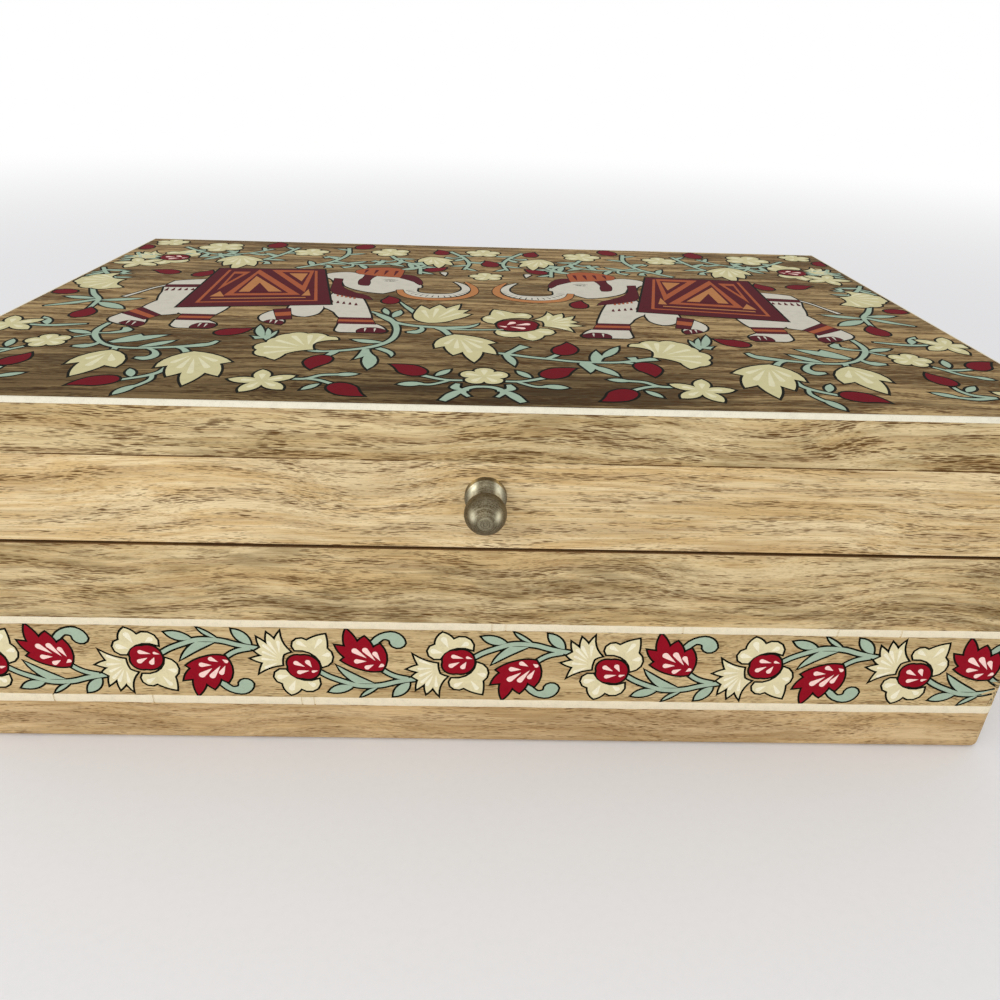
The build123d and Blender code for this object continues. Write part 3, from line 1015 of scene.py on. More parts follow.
# The lid's picture. Its places are steps of a drawing grid, counted to the right and to the front; the mirror
# axis and the lid's middle line have the numbers below. Motifs are millimetres about their own middle or stem.

LID_GRID = 0.1975
LID_MIRROR = 770
LID_MIDDLE = 497
LID_BOLDNESS = 1.2
# Colours whose darker lid copy serves on the lid's top as painted shade.
LID_SHADED_COLOURS = ("cream", "light", "crimson", "sage")


def spot(x, y):
    """A place on the lid's drawing grid as a plane point in millimetres."""
    return (x - LID_MIRROR) * LID_GRID + 1j * ((LID_MIDDLE - y) * LID_GRID)


def grid_arcs(corners, steps=5):
    """An outline through grid places with bulges, counterclockwise as seen."""
    x, y, bulge = np.array(corners, float).T
    return bulged(spot(x, y), bulge, steps)


def grid_ribbon(points, widths, count=0):
    """A ribbon through grid places, its widths in millimetres."""
    return ribbon([spot(x, y) for x, y in points], widths, count)


def vine(points, widths, leaves=(), curls=()):
    """A stem through grid places; leaves and curls are (share along it, length, angle to it in degrees)."""
    made = Drawing()
    places = [spot(x, y) for x, y in points]
    made.fill("sage", ribbon(places, widths, 6 * len(points)))
    spine = through(places, 101)
    tangent = np.gradient(spine)
    tangent = tangent / np.abs(tangent)
    for share, size, angle in leaves:
        base, way = spine[int(share * 100)], tangent[int(share * 100)]
        tip = base + size * way * np.exp(1j * math.radians(angle))
        inner, outer = (0.42, 0.12) if angle > 0 else (0.12, 0.42)
        made.fill("sage", leaf(base, tip, inner, outer))
    for share, size, angle in curls:
        base, way = spine[int(share * 100)], tangent[int(share * 100)]
        side = np.exp(1j * math.radians(angle))
        bend = np.exp(1j * math.radians(math.copysign(55, angle)))
        mid = base + 0.55 * size * way * side
        tip = mid + 0.5 * size * way * side * bend
        made.fill("sage", ribbon((base, mid, tip), (0.9, 1.3, 2.8), 14))
    return made


def bud():
    """A crimson bud that hangs from its round end to a tip that curls to the right."""
    made = Drawing()
    corners = [(2.2, -7.4, -0.08), (3.5, -1.6, 0.16), (2.8, 2.6, 0.66), (-2.9, 2.4, 0.2), (-2.6, -3.2, 0.12)]
    made.fill("crimson", arcs(corners, 7), 3)
    return made


FIVE_WAYS = [np.exp(1j * (math.pi / 2 + 2 * math.pi * index / 5)) for index in range(5)]


def round_flower():
    """A cream flower of five round petals with light drops."""
    made = Drawing()
    made.fill("cream", petalled(6.6, 5, 0.36, 0.55, math.pi / 2), 3)
    for way in FIVE_WAYS:
        made.fill("light", drop(0.8 * way, 4.4 * way, 1.9), 4, ink=0)
    return made


def star_flower():
    """A cream flower of five pointed petals with light drops."""
    made = Drawing()
    for way in FIVE_WAYS:
        made.fill("cream", leaf(0.2 * way, 8.8 * way, 0.5, 0.5), 3)
        made.fill("light", drop(1.2 * way, 4.6 * way, 1.7), 4, ink=0)
    made.fill("cream", petalled(2.6, 5, 0.1), 3, ink=0)
    return made


def strokes(drawing, start, ends, width):
    """Light strokes from near a flower's stem to near its tips."""
    for x, y in ends:
        tail = (start[0] + 0.25 * (x - start[0]), start[1] + 0.25 * (y - start[1]))
        drawing.fill("light", drop(tail, (x, y), width), 4, ink=0)


def tulip():
    """A cream flower that hangs from its stem, with five pointed petals."""
    made = Drawing()
    corners = [
        (0, 0, 0.32), (-5.7, -14.0, 0.0), (-2.9, -12.3, 0.1), (-0.3, -20.7, 0.05), (2.5, -17.5, 0.1),
        (5.7, -27.0, 0.1), (8.3, -17.3, 0.05), (12.3, -19.6, 0.12), (10.0, -9.9, 0.0), (12.6, -8.2, 0.2),
    ]
    made.fill("cream", arcs(corners), 3)
    strokes(made, (1.0, -2.0), ((-2.4, -9.5), (0.6, -13.5), (4.6, -17.5), (7.6, -13.0), (8.0, -7.6)), 1.7)
    return made


def small_tulip():
    """A cream flower that hangs from its stem, with three pointed petals."""
    made = Drawing()
    corners = [(0, 0, 0.34), (-7.0, -12.6, 0.0), (-3.9, -10.9, 0.12), (-1.7, -21.8, 0.14), (3.3, -12.9, 0.05),
               (6.8, -14.4, 0.36)]
    made.fill("cream", arcs(corners), 3)
    strokes(made, (0.4, -1.4), ((-3.0, -7.6), (-0.6, -13.0), (3.4, -8.6)), 2.0)
    return made


def shell_flower():
    """A cream flower like a shell, with scalloped lobes and two curled ends; its stem is at the origin."""
    made = Drawing()
    corners = [
        (0.2, 0, -0.1), (-0.8, 5.9, -0.3), (5.5, 9.7, 0.25), (4.3, 12.4, -0.1), (1.9, 13.0, 0.45), (-4.5, 15.2, 0.5),
        (-9.8, 14.6, 0.35), (-13.0, 10.3, 0.3), (-14.3, 5.9, 0.55), (-15.3, -1.4, 0.5), (-11.6, -7.2, 0.1),
        (-8.5, -9.6, 0.1), (-6.9, -4.5, -0.22),
    ]
    made.fill("cream", arcs(corners), 3)
    ends = ((0.4, 12.6), (-3.2, 13.0), (-7.8, 12.0), (-11.4, 7.6), (-13.4, 1.6), (-12.0, -4.0))
    strokes(made, (-1.6, 1.0), ends, 1.7)
    return made


def spiky_flower():
    """A cream flower with a round foot and upright spikes."""
    made = Drawing()
    corners = [
        (-8.2, 0, 0.1), (-7.7, -6.2, 0.25), (-3.0, -10.8, 0.25), (4.6, -6.4, 0.1), (9.6, 0.0, 0.05), (6.9, 0.9, 0.0),
        (8.8, 5.2, 0.05), (5.2, 4.6, 0.05), (5.8, 11.9, 0.05), (1.5, 6.2, 0.05), (-0.8, 10.8, 0.05), (-3.8, 4.8, 0.05),
        (-6.8, 9.2, 0.05),
    ]
    made.fill("cream", arcs(corners), 3)
    strokes(made, (-2.4, -9.0), ((-5.6, 3.0), (-1.4, 5.4), (4.0, 6.0), (5.6, 0.6)), 1.5)
    return made


def place_motifs(drawing, motif, places):
    """Adds a motif at grid places, each given as (x, y, turn in degrees, scale)."""
    for x, y, turn, scale in places:
        drawing.add(motif, scale=scale, turn=turn, shift=spot(x, y))


def sage(lines=(), outlines=(), leaves=()):
    """Stems as (grid places, widths in millimetres), traced outlines, and leaves as (base, tip, right, left bulge)."""
    made = Drawing()
    for points, widths in lines:
        made.fill("sage", grid_ribbon(points, widths, 7 * len(points)))
    for corners in outlines:
        made.fill("sage", grid_arcs(corners))
    for base, tip, right, left in leaves:
        made.fill("sage", grid_arcs([(*base, right), (*tip, left)], 7))
    return made


def front_greenery():
    """The stems and leaves along the front of both halves."""
    lines = (
        ([(189, 680), (187, 712), (191, 735), (200, 754), (213, 773), (229, 789), (248, 799), (270, 802), (296, 800),
          (328, 793), (354, 785), (372, 776), (379, 760)], (1.4, 1.9, 1.7, 1.3, 1.2, 1.3, 1.6, 3.0, 1.2)),
        ([(213, 771), (215, 784), (206, 796), (187, 799)], (0.9, 1.1, 2.0, 3.4, 1.2)),
        ([(195, 734), (213, 731), (230, 719), (223, 702)], (0.8, 1.1, 2.2, 3.1, 1.2)),
        ([(247, 797), (249, 806), (250, 816)], (1.8, 1.5)),
        ([(331, 793), (343, 801), (353, 816)], (1.2, 1.9)),
        ([(292, 800), (307, 814), (314, 831), (308, 845), (292, 844)], (1.0, 1.2, 1.8, 2.7, 3.0, 1.2)),
        ([(347, 882), (345, 901), (331, 918), (302, 936)], (1.2, 1.6, 1.2)),
        ([(339, 908), (344, 929), (338, 948), (330, 961)], (1.1, 1.3)),
        ([(514, 915), (538, 914), (556, 899), (577, 895)], (1.2, 1.4, 1.3)),
        ([(537, 913), (556, 918), (576, 931)], (1.2, 1.3)),
        ([(557, 794), (554, 806), (548, 818)], (2.6, 1.5)),
        ([(744, 907), (725, 907), (711, 903), (689, 891)], (1.1, 1.2, 1.5)),
        ([(727, 906), (716, 916), (702, 925), (688, 925)], (1.0, 1.2)),
        ([(771, 929), (758, 931), (747, 940), (745, 952), (752, 966)], (1.3, 1.6, 1.6, 1.0)),
        ([(752, 943), (741, 941), (734, 934), (737, 920)], (1.1, 1.3, 2.5, 1.2)),
        ([(747, 942), (734, 956), (720, 982)], (1.1, 2.2, 2.8, 1.8)),
        ([(440, 728), (449, 744), (462, 758)], (1.6, 2.4)),
        ([(66, 455), (90, 505), (113, 540), (120, 575), (123, 606)], (1.4, 1.9, 1.5, 1.1)),
        ([(114, 541), (85, 566), (46, 590)], (1.5, 2.9, 0.8)),
        ([(76, 698), (110, 700), (158, 688)], (1.2, 1.6, 1.9, 0.7)),
        ([(188, 742), (176, 752), (164, 759)], (1.0, 1.0, 0.8)),
        ([(122, 806), (110, 820), (97, 838), (80, 848)], (1.0, 1.3, 1.1)),
        ([(108, 818), (92, 819), (68, 813)], (1.1, 1.3, 1.0)),
        ([(136, 892), (134, 908), (124, 922), (98, 930)], (1.0, 1.2, 1.5, 1.2)),
        ([(98, 930), (128, 936), (154, 930)], (1.2, 1.6, 1.0)),
    )
    outlines = (
        [(236, 780, 0.22), (299, 736, 0.12), (266, 745, 0), (259, 736, 0.12), (228, 776, 0)],
        [(430, 746, 0.1), (421, 731, 0.1), (432, 733, 0), (444, 741, 0)],
    )
    leaves = (
        ((278, 797), (319, 762), 0.34, 0.22), ((317, 921), (303, 890), 0.34, 0.34), ((335, 950), (319, 986), 0.42, 0.3),
        ((573, 896), (604, 891), 0.42, 0.42), ((560, 931), (541, 955), 0.34, 0.34),
        ((706, 892), (725, 864), 0.34, 0.34),
        ((693, 922), (659, 927), 0.45, 0.45), ((442, 742), (420, 673), 0.1, 0.26), ((446, 742), (436, 690), 0.22, 0.1),
        ((449, 742), (453, 702), 0.16, 0.16), ((108, 536), (50, 526), 0.24, 0.3), ((116, 547), (184, 529), 0.28, 0.16),
        ((121, 560), (178, 598), 0.3, 0.34), ((102, 697), (77, 654), 0.34, 0.2), ((187, 738), (146, 722), 0.34, 0.3),
        ((99, 808), (91, 773), 0.34, 0.34), ((84, 845), (60, 858), 0.4, 0.4), ((127, 909), (104, 886), 0.34, 0.34),
        ((146, 932), (178, 914), 0.34, 0.34),
    )
    return sage(lines, outlines, leaves)


def back_greenery():
    """The vines along the back of both halves."""
    made = Drawing()
    stems = (
        ([(250, 250), (300, 200), (330, 140), (352, 60)], (1.9, 1.6)),
        ([(390, 262), (420, 232), (452, 190), (470, 120), (462, 50)], (1.9, 1.6)),
        ([(452, 190), (500, 215), (556, 210), (600, 180)], (1.7, 1.4)),
        ([(600, 255), (640, 215), (655, 180)], (1.6, 1.3)),
        ([(560, 110), (585, 165), (630, 215), (640, 290)], (1.7, 1.3)),
        ([(20, 300), (45, 345), (78, 385)], (1.4, 1.7)),
        ([(200, 140), (215, 175), (245, 200)], (1.6, 1.3)),
        ([(690, 60), (720, 120), (734, 180), (726, 240)], (1.8, 1.3)),
        ([(110, 80), (150, 120), (200, 150), (260, 130), (300, 80)], (1.6, 1.4)),
        ([(30, 150), (50, 190), (58, 230)], (1.4, 1.2)),
    )
    shared = ((0.2, 9, 60), (0.38, 9, -60), (0.56, 9, 60), (0.74, 8, -60), (0.9, 7, 50))
    for points, widths in stems:
        made.add(vine(points, widths, shared, ((0.3, 8, -70), (0.62, 8, 75))))
    return made


def lid_half():
    """The flowers, buds and vines that stand on both halves of the lid."""
    made = Drawing().add(front_greenery()).add(back_greenery())
    place_motifs(made, bud(), (
        (674, 872, 217, 1.0), (591, 948, 35, 1.0), (284, 936, 284, 1.0), (541, 838, -22, 0.98),
        (383, 714, 112, 0.95), (605, 507, 175, 0.85), (127, 632, 168, 0.95), (38, 495, 260, 0.85),
        (158, 325, 235, 0.95),
        (138, 867, 150, 0.88), (52, 799, 219, 0.9), (300, 42, 170, 1.1), (495, 34, 160, 1.1), (664, 250, 120, 0.9),
        (225, 338, 150, 0.9), (28, 95, 190, 0.9), (672, 78, 180, 0.9),
    ))
    place_motifs(made, round_flower(), (
        (141, 776, 20, 0.92), (388, 106, 0, 1.15), (560, 86, 15, 1.25), (186, 74, 30, 1.45), (64, 36, 0, 1.05),
    ))
    place_motifs(made, star_flower(), (
        (485, 926, 12, 1.0), (48, 698, 20, 1.05), (70, 250, 25, 1.1), (62, 930, 20, 0.85),
    ))
    place_motifs(made, tulip(), ((362, 812, 0, 1.0), (650, 122, 0, 0.8), (250, 158, -4, 0.95)))
    place_motifs(made, small_tulip(), ((248, 813, 0, 1.0),))
    place_motifs(made, shell_flower(), ((524, 791, 0, 1.0), (100, 398, 60, 0.95)))
    place_motifs(made, band_rosette(), ((120, 190, 20, 1.25),))
    return made


def middle_greenery():
    """The stems and leaves that only one half of the lid has: the shell's arch, the branch and the right vine."""
    lines = (
        ([(581, 579), (603, 604), (619, 629), (630, 661), (634, 695), (632, 727), (622, 753), (604, 773), (581, 786),
          (556, 795), (534, 798), (520, 792)], (0.9, 2.2, 1.9, 1.7, 1.8, 1.9, 1.5, 1.3, 2.4)),
        ([(594, 596), (619, 632), (634, 646), (655, 656), (678, 661), (704, 664)], (2.0, 1.9, 1.8)),
        ([(698, 669), (744, 672), (800, 667)], (1.5, 1.1, 0.9)),
        ([(695, 664), (707, 680), (716, 702)], (2.2, 1.8)),
        ([(667, 657), (672, 674), (665, 690), (650, 693)], (1.0, 1.2, 2.2, 3.3, 1.2)),
        ([(622, 512), (634, 540), (645, 562), (658, 590)], (0.5, 1.6, 2.0)),
        ([(777, 785), (802, 791), (834, 802), (865, 810), (896, 818), (927, 820), (959, 818), (984, 810), (1018, 798)],
         (0.8, 1.7, 1.5, 1.4, 1.4, 1.3, 1.4, 1.6, 2.9)),
        ([(803, 790), (817, 769), (830, 751)], (1.6, 1.8, 3.2)),
        ([(860, 808), (872, 795), (882, 780)], (1.4, 1.7)),
        ([(968, 817), (985, 824), (1001, 836)], (1.1, 1.6)),
    )
    outlines = (
        [(594, 783, -0.05), (589, 829, 0.1), (601, 816, 0.15), (613, 871, 0.3), (611, 806, -0.1), (604, 783, 0)],
        [(612, 781, -0.05), (631, 798, -0.1), (639, 816, 0.3), (634, 787, 0.1), (619, 774, 0)],
        [(702, 669, 0.04), (738, 665, 0.3), (761, 634, -0.15), (738, 653, 0), (702, 660, 0)],
        [(797, 790, 0.12), (813, 843, 0.22), (808, 800, 0), (806, 790, 0)],
        [(936, 818, -0.1), (943, 797, 0.24), (971, 744, 0.16), (941, 790, 0), (935, 766, 0.16), (923, 818, 0)],
        [(909, 817, 0.1), (904, 830, 0), (916, 865, 0.1), (924, 848, 0.12), (954, 878, 0.3), (930, 838, -0.1),
         (921, 822, 0)],
    )
    leaves = (
        ((620, 749), (572, 737), 0.22, 0.4), ((620, 611), (628, 566), 0.36, 0.3), ((611, 596), (600, 556), 0.2, 0.3),
    )
    return sage(lines, outlines, leaves)


def lid_middle():
    """The flowers and vines on the lid's middle, which aren't mirrored."""
    made = Drawing().add(middle_greenery())
    place_motifs(made, tulip(), ((724, 700, 2, 0.97),))
    place_motifs(made, spiky_flower(), ((696, 582, 0, 1.04),))
    place_motifs(made, round_flower(), ((771, 889, 0, 0.98), (771, 300, 10, 1.0), (763, 70, 0, 1.15)))
    place_motifs(made, bud(), ((889, 768, 155, 1.0), (780, 187, 180, 1.0)))
    mirrored = Drawing().add(band_rosette(), mirror=0, turn=8).squeezed(0.96)
    made.add(mirrored, scale=1.5, shift=spot(824, 638))
    return made


def quad_place(corners):
    """Turns shares (s, t) across and down a four cornered cloth into grid places."""
    (x0, y0), (x1, y1), (x2, y2), (x3, y3) = corners

    def place(s, t):
        top = (x0 + (x1 - x0) * s, y0 + (y1 - y0) * s)
        low = (x3 + (x2 - x3) * s, y3 + (y2 - y3) * s)
        return top[0] + (low[0] - top[0]) * t, top[1] + (low[1] - top[1]) * t

    return place


def lid_cloth():
    """The elephant's cloth: a maroon field, orange borders and a pattern of triangles."""
    made = Drawing()
    place = quad_place(((244, 284), (447, 272), (506, 540), (258, 580)))

    def shape(key, shares, layer, ink=0.0):
        made.fill(key, grid_arcs([(*place(s, t), 0) for s, t in shares], 1), layer, ink)

    shape("maroon", ((0, 0), (0, 1), (1, 1), (1, 0)), 5, INK_WIDTH)
    patches = (
        ("orange", 6, ((0.095, 0.05), (0.09, 0.91), (0.113, 0.91), (0.12, 0.05))),
        ("orange", 6, ((0.905, 0.05), (0.89, 0.91), (0.913, 0.91), (0.93, 0.05))),
        ("orange", 6, ((0.113, 0.888), (0.113, 0.91), (0.89, 0.91), (0.89, 0.888))),
        ("ochre", 6, ((0.17, 0.81), (0.17, 0.83), (0.83, 0.83), (0.83, 0.81))),
        ("orange", 6, ((0.38, 0.03), (0.24, 0.75), (0.79, 0.75))),
        ("maroon", 7, ((0.385, 0.15), (0.3, 0.7), (0.7, 0.7))),
        ("ochre", 8, ((0.39, 0.23), (0.33, 0.66), (0.65, 0.66))),
        ("maroon", 9, ((0.45, 0.42), (0.41, 0.66), (0.55, 0.66))),
        ("orange", 6, ((0.16, 0.1), (0.16, 0.62), (0.31, 0.1))),
        ("maroon", 7, ((0.18, 0.16), (0.18, 0.44), (0.26, 0.16))),
        ("orange", 6, ((0.5, 0.04), (0.9, 0.04), (0.82, 0.68))),
        ("maroon", 7, ((0.6, 0.1), (0.86, 0.1), (0.8, 0.5))),
        ("ochre", 8, ((0.67, 0.14), (0.84, 0.14), (0.79, 0.38))),
        ("ochre", 6, ((0.15, 0.77), (0.25, 0.77), (0.19, 0.64))),
        ("ochre", 6, ((0.8, 0.77), (0.865, 0.77), (0.85, 0.6))),
    )
    for key, layer, shares in patches:
        shape(key, shares, layer)
    return made


def leg_band(corners, stripe=0.34):
    """An anklet, maroon with an orange stripe; its corners run counterclockwise from the upper left."""
    made = Drawing()
    place = quad_place((corners[0], corners[3], corners[2], corners[1]))
    made.fill("maroon", grid_arcs([(*corner, 0) for corner in corners], 1), 4, 0.2)
    low, high = 0.5 - stripe / 2, 0.5 + stripe / 2
    shares = ((0, low), (0, high), (1, high), (1, low))
    made.fill("orange", grid_arcs([(*place(s, t), 0) for s, t in shares], 1), 5, 0)
    return made


def lid_elephant():
    """The left elephant, facing the middle; the right one is its mirror image."""
    made = Drawing()
    white = (
        [(252, 378, 0.1), (194, 398, 0.05), (189, 440, 0), (200, 480, 0.05), (213, 540, 0.08), (205, 588, 0.05),
         (236, 632, 0.12), (272, 620, 0), (268, 560, 0)],
        [(262, 570, 0), (266, 604, 0.1), (282, 622, 0), (334, 620, 0.05), (342, 566, 0)],
        [(441, 548, 0.2), (452, 602, 0.3), (478, 620, 0.3), (497, 585, 0.1), (494, 545, 0)],
        [(488, 530, 0), (500, 562, -0.08), (522, 592, 0.05), (534, 620, 0), (585, 620, 0.04), (578, 585, 0.02),
         (556, 500, 0.02), (540, 470, 0), (500, 440, 0)],
        [(462, 306, 0.4), (470, 345, -0.1), (484, 378, -0.1), (500, 374, 0), (508, 402, 0.12), (540, 436, 0.15),
         (585, 454, 0.1), (612, 420, 0), (650, 404, 0.2), (640, 368, 0.1), (606, 322, 0), (530, 300, 0),
         (500, 290, 0.2)],
        [(187, 622, 0), (179, 648, 0.3), (190, 674, 0.1), (237, 697, 0.2), (236, 655, 0)],
        [(282, 654, 0), (284, 682, 0.25), (300, 698, 0), (346, 698, 0.35), (348, 668, 0), (333, 654, 0)],
        [(419, 588, 0.1), (407, 616, 0.2), (416, 650, 0.1), (449, 668, 0.3), (444, 636, 0)],
        [(539, 654, 0), (539, 690, 0.3), (548, 701, 0), (612, 701, 0.5), (616, 684, 0.1), (598, 654, 0)],
    )
    for corners in white:
        made.fill("white", grid_arcs(corners), 3)
    toes = (
        [(204, 681, 0.1), (237, 698, 0.5), (238, 672, 0.1), (214, 664, 0.3)],
        [(318, 698, 0), (347, 698, 0.4), (348, 672, 0.2), (324, 670, 0.3)],
        [(420, 655, 0.1), (450, 669, 0.4), (446, 648, 0.1), (430, 640, 0.2)],
        [(574, 701, 0), (612, 701, 0.5), (615, 684, 0.1), (600, 674, 0.2), (578, 678, 0.3)],
    )
    for corners in toes:
        made.fill("maroon", grid_arcs(corners), 4, 0.2)
    for x, y in ((216, 676), (227, 682), (328, 682), (338, 684), (431, 652), (440, 656), (585, 688), (600, 688)):
        made.fill("white", drop_at((x, y + 9), (x - 1, y - 9), 0.7), 5, 0)
    for band in (
        ((204, 586), (186, 624), (234, 658), (250, 630)), ((281, 620), (282, 655), (333, 655), (334, 620)),
        ((418, 580), (438, 642), (460, 636), (444, 570)), ((533, 619), (536, 655), (597, 655), (586, 619)),
    ):
        made.add(leg_band(band))
    made.fill("maroon", grid_arcs([(189, 428, 0), (190, 446, 0.02), (256, 440, 0), (254, 420, 0)]), 4, 0.2)
    collar = [
        (480, 345, 0), (488, 440, 0), (500, 466, 0), (530, 486, 0), (572, 502, 0.1), (556, 470, -0.1),
        (512, 424, -0.06), (500, 390, 0), (496, 348, 0),
    ]
    made.fill("maroon", grid_arcs(collar), 4, 0.2)
    for index in range(5):
        x = 503 + 11 * index
        made.fill("maroon", drop_at((x, 508 + 4 * index), (x + 2, 524 + 4 * index), 1.1), 4, 0)
        made.fill("orange", drop_at((506 + 8 * index, 470 + 4 * index), (508 + 8 * index, 480 + 4 * index), 1.0), 5, 0)
        made.fill("maroon", drop_at((200 + 11 * index, 448), (202 + 11 * index, 470 - 2 * index), 1.3), 4, 0)
    head_cloth = [(512, 272, 0.3), (522, 304, 0), (560, 318, 0), (604, 326, 0.02), (606, 262, 0.25), (570, 240, 0.25)]
    made.fill("orange", grid_arcs(head_cloth), 4, 0.25)
    for index in range(4):
        tail, head = (530 + 20 * index, 300 + 5 * index), (532 + 20 * index, 266 + 2 * index)
        made.fill("maroon", drop_at(tail, head, 1.4), 5, 0)
    brow = [(606, 300, 0), (604, 330, -0.05), (634, 360, 0.05), (646, 384, 0.2), (650, 366, 0.1), (632, 312, 0.2)]
    made.fill("maroon", grid_arcs(brow), 4, 0.2)
    ear_line = [(533, 310, -0.1), (529, 350, 0.1), (533, 392, 0.3), (551, 398, 0.1), (549, 360, -0.1), (556, 320, 0.3)]
    made.fill("maroon", grid_arcs(ear_line), 4, 0.2)
    made.fill("ink", grid_arcs([(576, 358, 0.3), (598, 356, 0.3)]), 4, 0)
    made.fill("white", grid_arcs([(582, 358, 0.6), (592, 357, 0.6)]), 5, 0)
    made.fill("ink", grid_arcs([(585, 358, 1.0), (590, 357, 1.0)]), 6, 0)
    made.fill("ink", grid_ribbon([(572, 350), (586, 344), (602, 350)], (0.2, 0.5, 0.2)), 4, 0)
    trunk = [(626, 405), (630, 438), (648, 457), (682, 463), (714, 452), (731, 425), (733, 398), (724, 372), (711, 352)]
    made.fill("white", grid_ribbon(trunk, (7.0, 6.2, 5.9, 5.6, 4.2, 3.2, 2.9, 2.2, 0.6), 60), 3)
    ring = [(612, 424), (620, 455), (641, 478), (682, 488), (722, 475), (744, 448), (750, 420), (746, 388), (731, 350)]
    made.fill("ochre", grid_ribbon(ring, (2.2, 2.7, 3.0, 3.0, 3.0, 3.0, 2.8, 2.4, 0.8), 60), 4, 0.25)
    centre = spot(684, 412)
    for index in range(15):
        way = np.exp(1j * math.radians(195 + 11 * index))
        made.fill("ink", drop(centre + 9.2 * way, centre + 12.0 * way, 0.45), 4, 0)
    made.fill("white", drop_at((690, 300), (686, 276), 2.6), 3)
    tail = [(192, 430), (176, 452), (160, 492), (148, 520)]
    made.fill("white", grid_ribbon(tail, (1.2, 0.9, 1.6)), 3)
    return made


def drop_at(tail, head, width):
    """A teardrop between two grid places."""
    return drop(spot(*tail), spot(*head), width)


def picture_halves():
    """Half the width and half the depth of the field inside the lid's string, in millimetres."""
    margin = 2 * INK_WIDTH
    return node_low("lid_string_right").x / MM - margin, -node_high("lid_string_front").y / MM - margin


def mirrored_lid(drawing):
    """A drawing with its own mirror image on the lid's other half."""
    return Drawing().add(drawing).add(drawing, mirror=spot(LID_MIRROR, 0).real)


# Operators


def settings(context):
    """The sizes and the colours that hang on the scene."""
    return context.scene.jewellery_box_sizes, context.scene.jewellery_box_colours


class JEWELLERYBOX_OT_stage(bpy.types.Operator):
    """Adds the floor, the camera and the lights"""

    bl_idname = "jewellery_box.stage"
    bl_label = "Stage"

    def execute(self, context):
        add_camera()
        add_floor(context.scene.jewellery_box_colours)
        add_lights()
        return {"FINISHED"}


CAMERA_PLACE = (0.342 * MM, -279.637 * MM, 177.265 * MM)
CAMERA_PITCH = 28.0433
CAMERA_ROLL = -1.7614
CAMERA_YAW = -1.4231
CAMERA_LENS = 28.9175
CAMERA_CLIP = 0.01
SENSOR_WIDTH = 36.0
FLOOR_SPAN = 6.0


def add_camera():
    """The photograph's view: looking along +Y, pitched down, with a slight roll and yaw."""
    data = bpy.data.cameras.new("camera")
    data.lens = CAMERA_LENS
    data.sensor_width = SENSOR_WIDTH
    data.clip_start = CAMERA_CLIP
    turn = Matrix.Rotation(math.radians(CAMERA_YAW), 3, "Z")
    turn = turn @ Matrix.Rotation(math.radians(-CAMERA_PITCH), 3, "X")
    turn = turn @ Matrix.Rotation(math.radians(CAMERA_ROLL), 3, "Y")
    right, forward, up = turn.col[0], turn.col[1], turn.col[2]
    basis = Matrix((right, up, -forward)).transposed()
    camera = add_object("camera", data)
    camera.matrix_world = Matrix.Translation(CAMERA_PLACE) @ basis.to_4x4()
    bpy.context.scene.camera = camera


def add_floor(colours):
    """A wide pale floor with a faint cloudiness."""
    half = FLOOR_SPAN / 2
    corners = [(-half, -half, 0), (half, -half, 0), (half, half, 0), (-half, half, 0)]
    mesh = bpy.data.meshes.new("floor")
    mesh.from_pydata(corners, [], [(0, 1, 2, 3)])
    floor = add_object("floor", mesh)
    base = plain(colours.floor)
    inputs = {"Base": base, "Speck": tuple(0.94 * value for value in base), "Speck amount": 0.2}
    cover = new_material("floor", resin_group(), inputs, 0.0, Specular_IOR_Level=0.0)
    fade_to_white(cover.node_tree)
    mesh.materials.append(cover)


def fade_to_white(tree):
    """Far from the box the camera, and nothing else, sees the background's white in place of the floor."""
    where = add_node(tree, "ShaderNodeTexCoord").outputs["Object"]
    distance = add_node(tree, "ShaderNodeVectorMath", {0: where}, operation="LENGTH").outputs["Value"]
    seen = add_node(tree, "ShaderNodeLightPath").outputs["Is Camera Ray"]
    far = times(tree, ramp(tree, distance, 0.35, 1.9), seen)
    white = add_node(tree, "ShaderNodeEmission", {"Color": (1, 1, 1, 1), "Strength": 1.0}).outputs[0]
    mixed = add_node(tree, "ShaderNodeMixShader", {0: far, 1: tree.nodes["Principled BSDF"].outputs[0], 2: white})
    feed(tree, tree.nodes["Material Output"].inputs["Surface"], mixed.outputs[0])


WORLD_STRENGTH = 0.82
KEY_POWER = 5.0
KEY_SIZE = (1.2, 0.8)
KEY_PLACE = (-0.45, -1.05, 0.6)
KEY_TARGET = (0, 0, 0.05)


def add_lights():
    """A pale sky that fills every shadow, and one wide soft lamp above the front."""
    world = bpy.data.worlds.new("studio")
    bpy.context.scene.world = world
    world.use_nodes = True
    tree = world.node_tree
    background = tree.nodes["Background"]
    path = add_node(tree, "ShaderNodeLightPath").outputs
    bounced = calc(tree, "MAXIMUM", path["Is Glossy Ray"], path["Is Transmission Ray"])
    seen = calc(tree, "MAXIMUM", path["Is Camera Ray"], bounced)
    strength = plus(tree, times(tree, seen, 1 - WORLD_STRENGTH), WORLD_STRENGTH)
    background.inputs["Color"].default_value = (1, 1, 1, 1)
    feed(tree, background.inputs["Strength"], strength)
    data = bpy.data.lights.new("key", "AREA")
    data.shape = "RECTANGLE"
    data.size, data.size_y = KEY_SIZE
    data.energy = KEY_POWER
    lamp = add_object("key", data)
    lamp.location = KEY_PLACE
    aim = Vector(KEY_TARGET) - lamp.location
    lamp.rotation_euler = aim.to_track_quat("-Z", "Y").to_euler()
    bpy.context.scene.view_settings.view_transform = "Standard"


